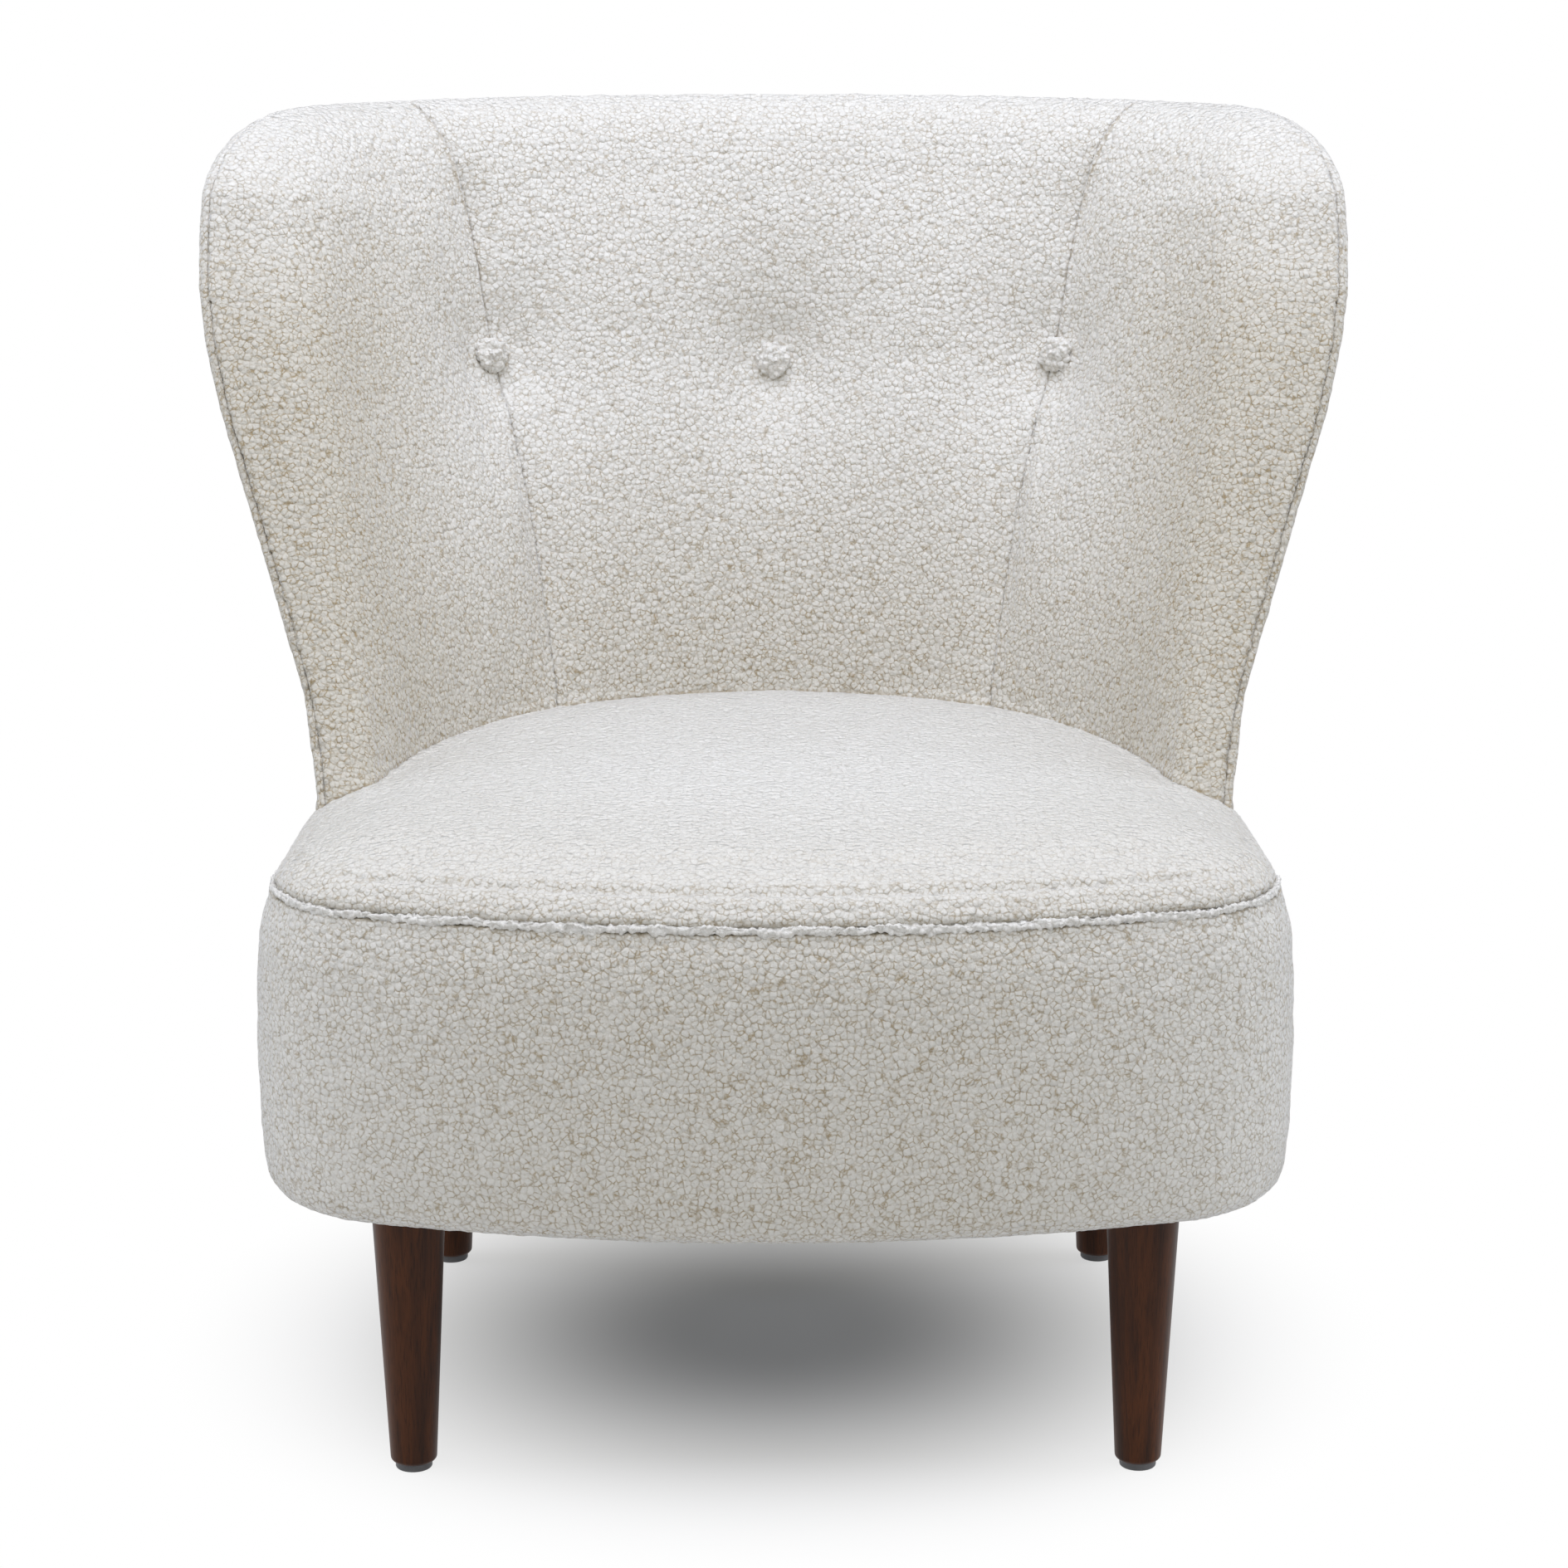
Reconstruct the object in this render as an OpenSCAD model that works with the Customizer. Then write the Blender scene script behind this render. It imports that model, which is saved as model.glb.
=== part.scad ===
// Cocktail chair: a round upholstered seat drum on four turned legs, with a
// curved, winged and buttoned back bolted on top. The front faces -Y, the floor
// is Z = 0 and the origin lies under the middle of the whole chair.

/* [Overall size] */
// Overall height, from the floor to the crest of the back
chair_h = 822; // [800:1:850]
// Width across the wings at their widest, before their edges are rounded
wing_w = 779; // [750:1:800]

/* [Seat drum] */
// Width of the drum at its belly
drum_w = 641; // [632:1:656]
// Depth of the drum at its belly
drum_d = 654; // [645:1:665]
// Height of the drum's underside above the floor
underside_z = 183; // [172:1:192]
// Height of the seam between the side band and the top panel
seam_z = 380; // [372:1:390]
// Radius of the front edge seen from above
front_r = 840; // [760:10:950]
// Radius of the two front corners seen from above
front_corner_r = 95; // [85:1:105]
// Radius of the rear edge seen from above
rear_r = 600; // [560:10:680]
// Radius of the two rear corners seen from above
rear_corner_r = 150; // [140:1:165]
// How far each side has drawn in halfway to the rear
side_draw = 11; // [8:1:13]
// How far the seam lies inside the belly
seam_in = 12; // [11:1:15]
// Radius of the rounded lower edge
hem_r = 22; // [20:1:26]
// How far the top panel rises over its rounded edge
top_roll_h = 28; // [22:1:32]
// Width of that rounded edge
top_roll_w = 64; // [54:1:70]
// Further rise of the top panel to its middle
top_crown = 7; // [3:1:12]
// Thickness of the side band with its fibre wrap
band_t = 11; // [8:1:14]
// How far the band is turned under the drum
band_turn = 34; // [31:1:36]

/* [Back] */
// How far the rear of the back stands inside the drum's belly, at the seat
foot_in = 19; // [14:1:28]
// Width across the wings where they meet the seat
wing_foot_w = 586; // [570:1:590]
// Height at which the wings are widest
wing_z = 742; // [720:1:750]
// Recline of the back from upright, in degrees
recline = 13; // [11:0.5:14]
// Half thickness of the back at its middle
back_half_t = 44; // [40:1:46]
// Half thickness of a wing's nose at the seat
nose_foot_t = 17; // [15:1:20]
// Half thickness of a wing's nose at its widest
nose_top_t = 36; // [30:1:40]
// Height of the rounded top corners
corner_h = 71; // [62:1:80]
// Length of the rounded top corners along the cover
corner_s = 123; // [105:1:140]
// Radius of the crest and of the wing edges, as a share of the half thickness
edge_round = 1.15; // [1:0.05:1.3]
// How far the pads wrap round the wing edges, as a share of the half thickness
wrap_share = 0.72; // [0.6:0.02:0.8]
// Depth of the valley at the two upright seams
valley_d = 9; // [5:1:12]
// How far the wing pads swell beyond the valleys
wing_swell = 7; // [3:1:10]
// Height of the row of buttons
button_z = 637; // [620:1:660]
// How much higher the two side buttons sit
button_rise = 10; // [0:1:20]
// Depth of the dimple at each button
tuft_d = 15; // [10:1:18]
// Radius of the dimple at each button
tuft_r = 34; // [28:1:44]
// Radius of a covered button
button_r = 12.5; // [10:0.5:15]

/* [Legs] */
// Distance of the front legs from the middle line
front_leg_x = 229; // [220:1:235]
// Distance of the front legs from the front of the seat
front_leg_in = 119; // [112:1:130]
// Distance of the rear legs from the middle line
rear_leg_x = 234; // [225:1:237]
// Distance between the front and the rear legs
leg_pitch = 381; // [370:1:385]
// Radius of a leg at its top
leg_top_r = 23.5; // [21:0.5:26]
// Radius of a leg at its foot
leg_foot_r = 14.7; // [13:0.1:17]
// Rounding of the leg's lower edge
leg_edge_r = 3; // [2:0.5:4]
// Radius of a glide
glide_r = 11.6; // [10:0.1:12.5]
// Thickness of a glide
glide_t = 5; // [4:0.5:7]

/* [Frame] */
// Thickness of the plywood plates and ribs
ply_t = 18; // [15:1:20]
// How far the plates lie inside the belly
plate_in = 26; // [25:1:30]
// Width of the ring that carries the seat
ring_w = 56; // [50:1:58]
// Thickness of the drum's foam board side wrap
wrap_t = 9; // [6:1:11]
// Width of a post along the rim
post_w = 44; // [36:1:50]
// Depth of a post across the rim
post_d = 30; // [26:1:34]
// Height of the top face of the seat ring
ring_z = 354; // [348:1:358]
// Height of the middle plate of the back, at its underside
mid_plate_z = 562; // [540:1:580]
// Distance of the top plate's underside below the crest
top_plate_drop = 58; // [57:1:64]
// Thickness of the webbing
web_t = 1.6; // [1.2:0.1:2]
// Width of the seat webbing
web_w = 56; // [50:1:60]
// Free gap between neighbouring seat straps
web_gap = 22; // [16:1:30]
// Width of the back webbing
back_web_w = 50; // [40:1:55]
// Diameter of the bolts
bolt_d = 8; // [6:1:8]

/* [Hidden] */
$fn = 48;
fit = 0.3;           // clearance between pieces that touch
lip = 0.8;           // thickness left at the sewn edges of a cover
sheet_t = 1;         // dust cover and lining sheet
turn_t = 3.4;        // turned-under part of the side band
screw_r = 2;
head_r = 4;

lean = tan(recline);
roll_r = back_half_t * edge_round;
seat_top_z = seam_z + 12;
// The crest lies behind the seat by its lean and its own rounding.
crest_run = lean * (chair_h - roll_r - seat_top_z);
crest_reach = norm([lean * roll_r, back_half_t]);
chair_d = drum_d - foot_in - back_half_t + crest_run + crest_reach;
front_y = -chair_d / 2;
rear_y = front_y + drum_d;
half_drum = drum_w / 2;

// The drum's outline seen from above is four arcs and two straight sides.
front_c = [0, front_y + front_r];
rear_c = [0, rear_y - rear_r];
fc_x = half_drum - front_corner_r;
rc_x = half_drum - rear_corner_r;
fc_y = front_c[1] - sqrt(pow(front_r - front_corner_r, 2) - fc_x * fc_x);
rc_y = rear_c[1] + sqrt(pow(rear_r - rear_corner_r, 2) - rc_x * rc_x);
front_a = asin(fc_x / (front_r - front_corner_r));
rear_a = asin(rc_x / (rear_r - rear_corner_r));

function arc(c, r, a0, a1, n) =
    [for (i = [0:n - 1]) let (a = a0 + (a1 - a0) * i / n) c + r * [cos(a), sin(a)]];

// Behind the front corners the sides draw in more and more, until they level out.
draw_run = 190;
draw_more = 0.3;
function draw_in(y) = let (t = max(0, (y - fc_y) / draw_run))
    t < 1 ? t * t : 1 + draw_more * (1 - exp(-2 * (t - 1) / draw_more));
function drawn(p) = [p[0] * (1 - side_draw / half_drum * draw_in(p[1])), p[1]];

function outline(inset) = [for (p = concat(
    arc([rc_x, rc_y], rear_corner_r - inset, 0, 90 - rear_a, 7),
    arc(rear_c, rear_r - inset, 90 - rear_a, 90 + rear_a, 6),
    arc([-rc_x, rc_y], rear_corner_r - inset, 90 + rear_a, 180, 7),
    side_run(-1, inset), arc([-fc_x, fc_y], front_corner_r - inset, 180, 270 - front_a, 7),
    arc(front_c, front_r - inset, 270 - front_a, 270 + front_a, 12),
    arc([fc_x, fc_y], front_corner_r - inset, 270 + front_a, 360, 7), side_run(1, inset)))
    drawn(p)];
// The nearly straight side between a rear corner and a front corner.
function side_run(side, inset) = [for (i = [0:2])
    [side * (half_drum - inset), side < 0 ? mix(rc_y, fc_y, i / 3) : mix(fc_y, rc_y, i / 3)]];

function ring_at(inset, z) = [for (p = outline(inset)) [p[0], p[1], z]];
function shrunk(inset, k, z) =
    let (c = [0, (front_y + rear_y) / 2])
    [for (p = outline(inset)) let (q = c + k * (p - c)) [q[0], q[1], z]];
function flat(lists) = [for (l = lists) for (p = l) p];
function mix(a, b, t) = a + (b - a) * t;
function clamp(t) = min(1, max(0, t));
function ease(t) = t * t * (3 - 2 * t);

// A closed band: each ring joins the next, and the last joins the first.
module ring_band(rings) {
    n = len(rings[0]);
    m = len(rings);
    faces = [for (j = [0:m - 1]) for (i = [0:n - 1])
        let (a = j * n + i, b = j * n + (i + 1) % n,
             c = ((j + 1) % m) * n + (i + 1) % n, d = ((j + 1) % m) * n + i)
        each [[a, b, c], [a, c, d]]];
    polyhedron(flat(rings), faces, convexity = 8);
}

// A closed cap: rings from the middle of its top, over the rim, to the middle
// of its underside.
module ring_cap(rings, top, bottom) {
    n = len(rings[0]);
    m = len(rings);
    t = n * m;
    side = [for (j = [0:m - 2]) for (i = [0:n - 1])
        let (a = j * n + i, b = j * n + (i + 1) % n, c = b + n, d = a + n)
        each [[a, b, c], [a, c, d]]];
    lids = [for (i = [0:n - 1])
        each [[t, (i + 1) % n, i], [t + 1, (m - 1) * n + i, (m - 1) * n + (i + 1) % n]]];
    polyhedron(concat(flat(rings), [top, bottom]), concat(side, lids), convexity = 6);
}

// The back follows one curved sheet. At each height it is a plan curve that
// runs from the middle out to the nose of a wing; its tangent turns steadily
// more, and it opens out as it rises.
foot_z = ring_z + fit;
crest_z = chair_h;
corner_z = crest_z - corner_h;
mid_y0 = rear_y - foot_in - back_half_t;

function rise(z) = clamp((z - seat_top_z) / (wing_z - seat_top_z));
function nose_t(z) = mix(nose_foot_t, nose_top_t, ease(rise(z)));
function half_w(z) = mix(wing_foot_w, wing_w, sin(90 * pow(rise(z), 1.47))) / 2
    - nose_t(z) * (1 - wrap_share);
function turn_p(z) = mix(1, 1.4, rise(z));
function turn_end(z) = mix(90, 75, rise(z));
function stretch(z) = mix(1.19, 1, rise(z));
function mid_y(z) = mid_y0 + lean * (max(z, seat_top_z) - seat_top_z);

steps = 36;
// A row holds its height, its length along the cover and its plan curve.
function row(z) = let (
    p = turn_p(z), e = turn_end(z), k = stretch(z),
    run = [for (i = 0, x = 0, y = 0; i <= steps;
        x = x + cos(e * pow((i + 0.5) / steps, p)) / steps,
        y = y + sin(e * pow((i + 0.5) / steps, p)) / steps, i = i + 1) [i / steps, x, y]],
    s = half_w(z) / run[steps][1])
    [z, s, [for (q = run) [q[0], s * q[1]]], [for (q = run) [q[0], s * k * q[2]]], p, e, k];

function row_len(r) = r[1];
// Length of the sheet at this height, cut back where the top corners round off.
function sheet_len(r) = let (v = clamp((r[0] - corner_z) / corner_h))
    row_len(r) - corner_s * (1 - sqrt(max(0, 1 - v * v)));

// Point of the sheet at length s, moved by d towards the sitter.
function sheet_pt(r, s, d) = let (
    t = clamp(abs(s) / row_len(r)), g = s < 0 ? -1 : 1,
    a = r[5] * pow(t, r[4]), tx = cos(a), ty = r[6] * sin(a), n = norm([tx, ty]))
    [g * (lookup(t, r[2]) - d * ty / n), mid_y(r[0]) - lookup(t, r[3]) - d * tx / n, r[0]];

// Distance along the sheet to its nearest free edge.
function edge_gap(r, s) = let (
    u = max(0, abs(s) - (row_len(r) - corner_s)) / corner_s,
    v = max(0, r[0] - corner_z) / corner_h, rho = norm([u, v]))
    u > 0 && v > 0
        ? max(0, (1 - rho) * rho / norm([u / corner_s, v / corner_h]))
        : max(0, min(row_len(r) - abs(s), crest_z - r[0]));

// Half the thickness of the back, and its parts before and behind the sheet:
// towards the wings the sheet moves to the outside.
function half_at(r, s) =
    mix(back_half_t, nose_t(r[0]), pow(clamp(abs(s) / row_len(r)), 2));
function wrap_at(r, s) = wrap_share * nose_t(r[0]) * pow(clamp(abs(s) / row_len(r)), 2);
function bent(gap, run, h) = let (q = 1 - clamp(gap / run)) h * sqrt(1 - q * q);
function front_round(r, s) = let (h = half_at(r, s))
    bent(edge_gap(r, s), h * edge_round, h + wrap_at(r, s));
function rear_round(r, s) = let (h = half_at(r, s) - wrap_at(r, s))
    bent(edge_gap(r, s), h * edge_round, h);

// Share of the length at which the upright seams run: nearly straight up to
// the side buttons, then fanning out towards the top corners.
function seam_share(z) = mix(0.427, 0.573, pow(clamp((z - seat_top_z) / (crest_z - seat_top_z)), 3.2));
function bell(x) = exp(-x * x);
function swell(x) = sin(180 * clamp(x));

button_rows = [button_z, button_z + button_rise];
function button_s(side) =
    side * (seam_share(button_rows[1]) + 0.008) * row_len(row(button_rows[1]));
function button_h(side) = side == 0 ? button_rows[0] : button_rows[1];
button_at = [for (side = [-1, 0, 1]) [button_s(side), button_h(side)]];

function relief(r, s) = let (
    f = abs(s) / row_len(r), fs = seam_share(r[0]),
    valley = valley_d * bell((f - fs) * row_len(r) / 20),
    wing = f > fs ? wing_swell * swell((f - fs) / (1 - fs)) : 0,
    tufts = [for (b = button_at) max(0, norm([s - b[0], r[0] - b[1]]) - button_r - 4) / tuft_r],
    near = min(tufts),
    soft = clamp(edge_gap(r, s) / 60) * clamp((r[0] - seat_top_z - 28) / 60))
    soft * (wing - max(valley, tuft_d * bell(near)) - 5 * bell(near / 2));

function front_off(r, s) = max(lip, front_round(r, s) + relief(r, s));
function rear_off(r, s) = max(lip, rear_round(r, s));
// The frame's room inside the back: it ends short of the free edges.
edge_room = 27;
function cavity_front(r, s) = edge_gap(r, s) < edge_room
    ? fit : mix(10, 4.5, clamp(abs(s) / row_len(r))) + wrap_at(r, s);
function cavity_rear(r, s) = edge_gap(r, s) < edge_room ? fit : rear_round(r, s) - 9;

foot_rows = [foot_z, seat_top_z];
low_climb = [0.14, 0.32, 0.5, 0.68, 0.86];
button_climb = [-34, -18, -6, 6, 18, 34];
high_climb = [0.35, 0.7, 1];
top_rows = [for (a = [78, 62, 46, 32, 17, 0]) crest_z - roll_r * (1 - cos(a))];
rows = [for (z = concat(foot_rows,
    [for (q = low_climb) mix(seat_top_z, button_z - 34, q)],
    [for (d = button_climb) button_z + button_rise / 2 + d],
    [for (q = high_climb) mix(button_z + 40, crest_z - roll_r, q)], top_rows)) row(z)];

function seam_s(r) = seam_share(r[0]) * row_len(r);
seam_gap = 0.25;
// Lengths of the columns across the middle panel and across a wing.
function mid_cols(r) = [for (q = [-1, -0.91, -0.76, -0.52, -0.25, -0.08, 0.08, 0.25, 0.52, 0.76, 0.91, 1])
    q * (seam_s(r) - seam_gap)];
function wing_cols(r) = let (
    a = seam_s(r) + seam_gap, e = sheet_len(r), c = half_at(r, e) * edge_round)
    concat([for (q = [0, 0.09, 0.22, 0.42, 0.64, 0.84, 1]) mix(a, e - c, q)],
           [for (b = [64, 44, 26, 0]) e - c * (1 - cos(b))]);
function all_cols(r) = let (w = wing_cols(r), c = mid_cols(r), m = len(w) - 1)
    concat([for (i = [m:-1:0]) -w[i]], [for (i = [1:len(c) - 2]) c[i]], w);

// A pad between two faces of the sheet. near(r, s) is the face towards the
// sitter and far(r, s) the other, both as distances from the sheet.
module pad(rs, cols, near, far) {
    n = len(cols(rs[0]));
    m = len(rs);
    h = n * m;
    a = [for (r = rs) for (s = cols(r)) sheet_pt(r, s, near(r, s))];
    b = [for (r = rs) for (s = cols(r)) sheet_pt(r, s, far(r, s))];
    skin = [for (j = [0:m - 2]) for (i = [0:n - 2])
        let (p = j * n + i) each [[p, p + n + 1, p + 1], [p, p + n, p + n + 1],
            [h + p, h + p + 1, h + p + n + 1], [h + p, h + p + n + 1, h + p + n]]];
    ends = [for (i = [0:n - 2]) let (t = (m - 1) * n + i)
        each [[i, i + 1, h + i + 1], [i, h + i + 1, h + i],
              [t, h + t + 1, t + 1], [t, h + t, h + t + 1]]];
    sides = [for (j = [0:m - 2]) let (l = j * n, q = j * n + n - 1)
        each [[l, h + l, h + l + n], [l, h + l + n, l + n],
              [q, h + q + n, h + q], [q, q + n, h + q + n]]];
    polyhedron(concat(a, b), concat(skin, ends, sides), convexity = 8);
}

// Room for the back's foot, cut from the pieces of the seat around it.
module foot_slot(gap = 1.5) {
    pad([for (z = [foot_z - 60, seat_top_z, seat_top_z + 18, seat_top_z + 42]) row(z)],
        function (r) [for (i = [-14:14]) row_len(r) * sin(90 * i / 14)],
        function (r, s) front_round(r, s) + gap, function (r, s) -rear_round(r, s) - gap);
}

// Front of the back's foot in plan, from its middle to where a wing begins.
foot_front = [for (i = [0:16]) let (r = row(seat_top_z), q = row_len(r) * i / 20,
    p = sheet_pt(r, q, front_round(r, q))) [p[0], p[1]]];

// Plan of everything behind the back's sheet, or behind a line before it that
// ahead(r, s) gives; it starts gap before the noses.
function behind(ahead, gap) = let (r = row(seat_top_z), e = row_len(r), nose = sheet_pt(r, e, 0), far = 90)
    concat([for (i = [-22:22]) let (q = e * sin(90 * i / 22), p = sheet_pt(r, q, ahead(r, q)))
            [p[0], p[1]]],
           [[nose[0], nose[1] - gap], [nose[0] + far, nose[1] - gap], [nose[0] + far, rear_y + far],
            [-nose[0] - far, rear_y + far], [-nose[0] - far, nose[1] - gap], [-nose[0], nose[1] - gap]]);
function behind_foot(gap) = behind(function (r, s) front_round(r, s) + gap, gap);

base_z = underside_z + turn_t + fit;
base_top_z = base_z + ply_t;
ring_low_z = ring_z - ply_t;

// Places where the legs stand.
front_leg_y = front_y + front_leg_in;
rear_leg_y = front_leg_y + leg_pitch;
leg_at = [[-front_leg_x, front_leg_y], [front_leg_x, front_leg_y],
          [-rear_leg_x, rear_leg_y], [rear_leg_x, rear_leg_y]];
leg_top_z = underside_z - sheet_t - fit;
hanger_low = 42;

module leg_bores(r, z0, z1) {
    for (p = leg_at) translate([p[0], p[1], z0]) cylinder(h = z1 - z0, r = r);
}

module leg(i) {
    color("#3a2619")
    translate([leg_at[i][0], leg_at[i][1], 0])
    difference() {
        rotate_extrude() polygon(concat(
            [[0, glide_t]],
            [for (a = [0:15:90]) [leg_foot_r - leg_edge_r + leg_edge_r * sin(a),
                                  glide_t + leg_edge_r - leg_edge_r * cos(a)]],
            [[leg_top_r, leg_top_z], [0, leg_top_z]]));
        translate([0, 0, leg_top_z - hanger_low - fit]) cylinder(h = hanger_low + 1, r = bolt_d / 2 + 0.1);
        translate([0, 0, glide_t - 1]) cylinder(h = nail_h + 1 + fit, r = nail_r + 0.1);
    }
}

nail_r = 1.25;
nail_h = 16;
module glide(i) {
    edge = 1.5;
    color("#5f5f62")
    translate([leg_at[i][0], leg_at[i][1], 0])
    rotate_extrude() polygon(concat([[0, 0], [glide_r - edge, 0]],
        [for (a = [15:15:90]) [glide_r - edge + edge * sin(a), edge - edge * cos(a)]],
        [[glide_r, glide_t], [nail_r, glide_t], [nail_r, glide_t + nail_h], [0, glide_t + nail_h]]));
}

tee_barrel_r = bolt_d / 2 + 1.2;
tee_flange_r = tee_barrel_r + 5;
tee_flange_t = 1.6;
module tee_nut(z0, z1) {
    difference() {
        union() {
            translate([0, 0, z0]) cylinder(h = z1 - z0, r = tee_barrel_r);
            translate([0, 0, z1]) cylinder(h = tee_flange_t, r = tee_flange_r);
        }
        translate([0, 0, z0 - 1]) cylinder(h = z1 - z0 + 2 + tee_flange_t, r = bolt_d / 2 + 0.1);
    }
}

module leg_hanger_bolts() {
    color("silver") for (p = leg_at) translate([p[0], p[1], leg_top_z - hanger_low])
        cylinder(h = hanger_low + base_top_z - leg_top_z + 4, r = bolt_d / 2);
}

module leg_tee_nuts() {
    color("silver") for (p = leg_at) translate([p[0], p[1], 0])
        tee_nut(base_z + 6, base_top_z);
}

module dust_cover() {
    color("#2b2b2b") difference() {
        translate([0, 0, underside_z - sheet_t - fit / 2]) linear_extrude(sheet_t) polygon(outline(plate_in + 9));
        leg_bores(bolt_d / 2 + 1, underside_z - 5, underside_z + 5);
    }
}

// Posts stand round the rim, square to it and clear of the legs. Their places
// are shares of the rim's length, counted both ways from its rearmost point.
post_in = plate_in + 6 + post_d / 2;
post_shares = [0.062, 0.222, 0.288, 0.43];
rim = outline(post_in);
rearmost = 10;
function rim_at(i) = rim[(i + rearmost + len(rim)) % len(rim)];
function rim_run(i, acc = 0) = i <= 0 ? acc : rim_run(i - 1, acc + norm(rim_at(i) - rim_at(i - 1)));
rim_table = [for (i = [0:len(rim)]) [rim_run(i), i]];
rim_total = rim_run(len(rim));
function rim_post(t) = let (i = floor(t), d = rim_at(i + 1) - rim_at(i))
    [mix(rim_at(i), rim_at(i + 1), t - i), atan2(d[1], d[0])];
posts = [for (f = post_shares) each
    let (p = rim_post(lookup(rim_total * f, rim_table))) [p, [[-p[0][0], p[0][1]], 180 - p[1]]]];

module at_posts() {
    for (p = posts) translate([p[0][0], p[0][1], 0]) rotate(p[1]) children();
}

screw_len = 45;
pilot = screw_len - ply_t + 5;
module frame_posts() {
    color("burlywood") at_posts() difference() {
        translate([-post_w / 2, -post_d / 2, base_top_z]) cube([post_w, post_d, ring_low_z - base_top_z]);
        translate([0, 0, base_top_z - 1]) cylinder(h = pilot, r = screw_r + 0.1);
        translate([0, 0, ring_low_z - pilot + 1]) cylinder(h = pilot, r = screw_r + 0.1);
    }
}

module screw() {
    rotate_extrude() polygon([[0, 0], [head_r, 0], [screw_r, 2.4], [screw_r, screw_len], [0, screw_len]]);
}

module screw_bore() {
    translate([0, 0, -1]) cylinder(h = ply_t + 2, r = screw_r + 0.15);
    translate([0, 0, -0.01]) rotate_extrude()
        polygon([[0, -1], [head_r + 0.3, -1], [head_r + 0.3, 0], [screw_r, 2.8], [0, 2.8]]);
}

module drum_frame_screws() {
    color("silver") {
        at_posts() translate([0, 0, base_z]) screw();
        at_posts() translate([0, 0, ring_z]) mirror([0, 0, 1]) screw();
    }
}

module base_plate() {
    color("burlywood") difference() {
        translate([0, 0, base_z]) linear_extrude(ply_t) difference() {
            polygon(outline(plate_in));
            circle(r = 0.36 * half_drum);
        }
        leg_bores(tee_barrel_r + 0.1, base_z - 1, base_top_z + 1);
        at_posts() translate([0, 0, base_z]) screw_bore();
    }
}

strap_hold = 34;     // ledge before the back's foot on which the straps end
module seat_ring() {
    color("burlywood") difference() {
        translate([0, 0, ring_low_z]) linear_extrude(ply_t) difference() {
            polygon(outline(plate_in));
            polygon([for (p = outline(plate_in + ring_w))
                [p[0], min(p[1], lookup(abs(p[0]), foot_front) - strap_hold)]]);
        }
        at_posts() translate([0, 0, ring_z]) mirror([0, 0, 1]) screw_bore();
        for (p = back_bolts_at) translate([p[0], p[1], ring_low_z - 1])
            cylinder(h = ply_t + 2, r = bolt_d / 2 + 0.3);
    }
}

// The drum's side: thin bent panel, foam wrap, then the sewn band.
panel_t = 3;
module side_panel() {
    color("peru") translate([0, 0, base_z]) linear_extrude(ring_z - base_z) difference() {
        polygon(outline(plate_in - fit - panel_t));
        polygon(outline(plate_in - fit));
    }
}

wrap_out = plate_in - 2 * fit - panel_t;
flange_t = 2.6;
band_top_z = seam_z - flange_t / 2 - fit;
band_fold = 28;      // height over which the band rounds in to the seam
module side_foam() {
    low = underside_z + hem_r + 14;
    color("khaki") difference() {
        translate([0, 0, low]) linear_extrude(band_top_z - band_fold - 2 - low) difference() {
            polygon(outline(wrap_out - wrap_t));
            polygon(outline(wrap_out));
        }
        foot_slot();
    }
}

hem_in = 2.5;
module seat_band() {
    fall = band_top_z - underside_z - hem_r;
    round_c = hem_in + hem_r;
    outer = concat(
        [[seam_in + 1.5, band_top_z], [0.88 * seam_in, band_top_z - 2.5],
         [0.55 * seam_in, band_top_z - 0.4 * band_fold], [0.25 * seam_in, band_top_z - band_fold],
         [0.08 * seam_in, band_top_z - 2.1 * band_fold],
         [0, band_top_z - fall * 0.6], [0.4, band_top_z - fall * 0.85]],
        [for (a = [0, 25, 48, 70, 90]) [round_c - hem_r * cos(a), underside_z + hem_r - hem_r * sin(a)]]);
    inner = [[band_turn, underside_z], [band_turn, underside_z + turn_t],
             [wrap_out - fit, underside_z + turn_t],
             [round_c - (hem_r - 8) * cos(45), underside_z + hem_r - (hem_r - 8) * sin(45) + 2],
             [band_t, underside_z + hem_r + 10], [band_t, band_top_z - band_fold],
             [seam_in + 6, band_top_z]];
    color("ivory") difference() {
        ring_band([for (p = concat(outer, inner)) ring_at(p[0], p[1])]);
        foot_slot();
    }
}

// A folded strip of the cover is sewn into the seam and stands proud of it.
module seam_welt() {
    bead = 2.2;
    h = flange_t / 2;
    color("ivory") difference() {
        ring_band([for (p = [[9, 0.8 * h], [0.4, 0.8 * h], [-0.5 * bead, h + 1.6], [-bead, 0.8],
            [-bead, -0.8], [-0.5 * bead, -h - 1], [0.4, -0.8 * h], [9, -0.8 * h]])
            ring_at(seam_in + p[0], seam_z + p[1])]);
        foot_slot();
    }
}

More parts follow.
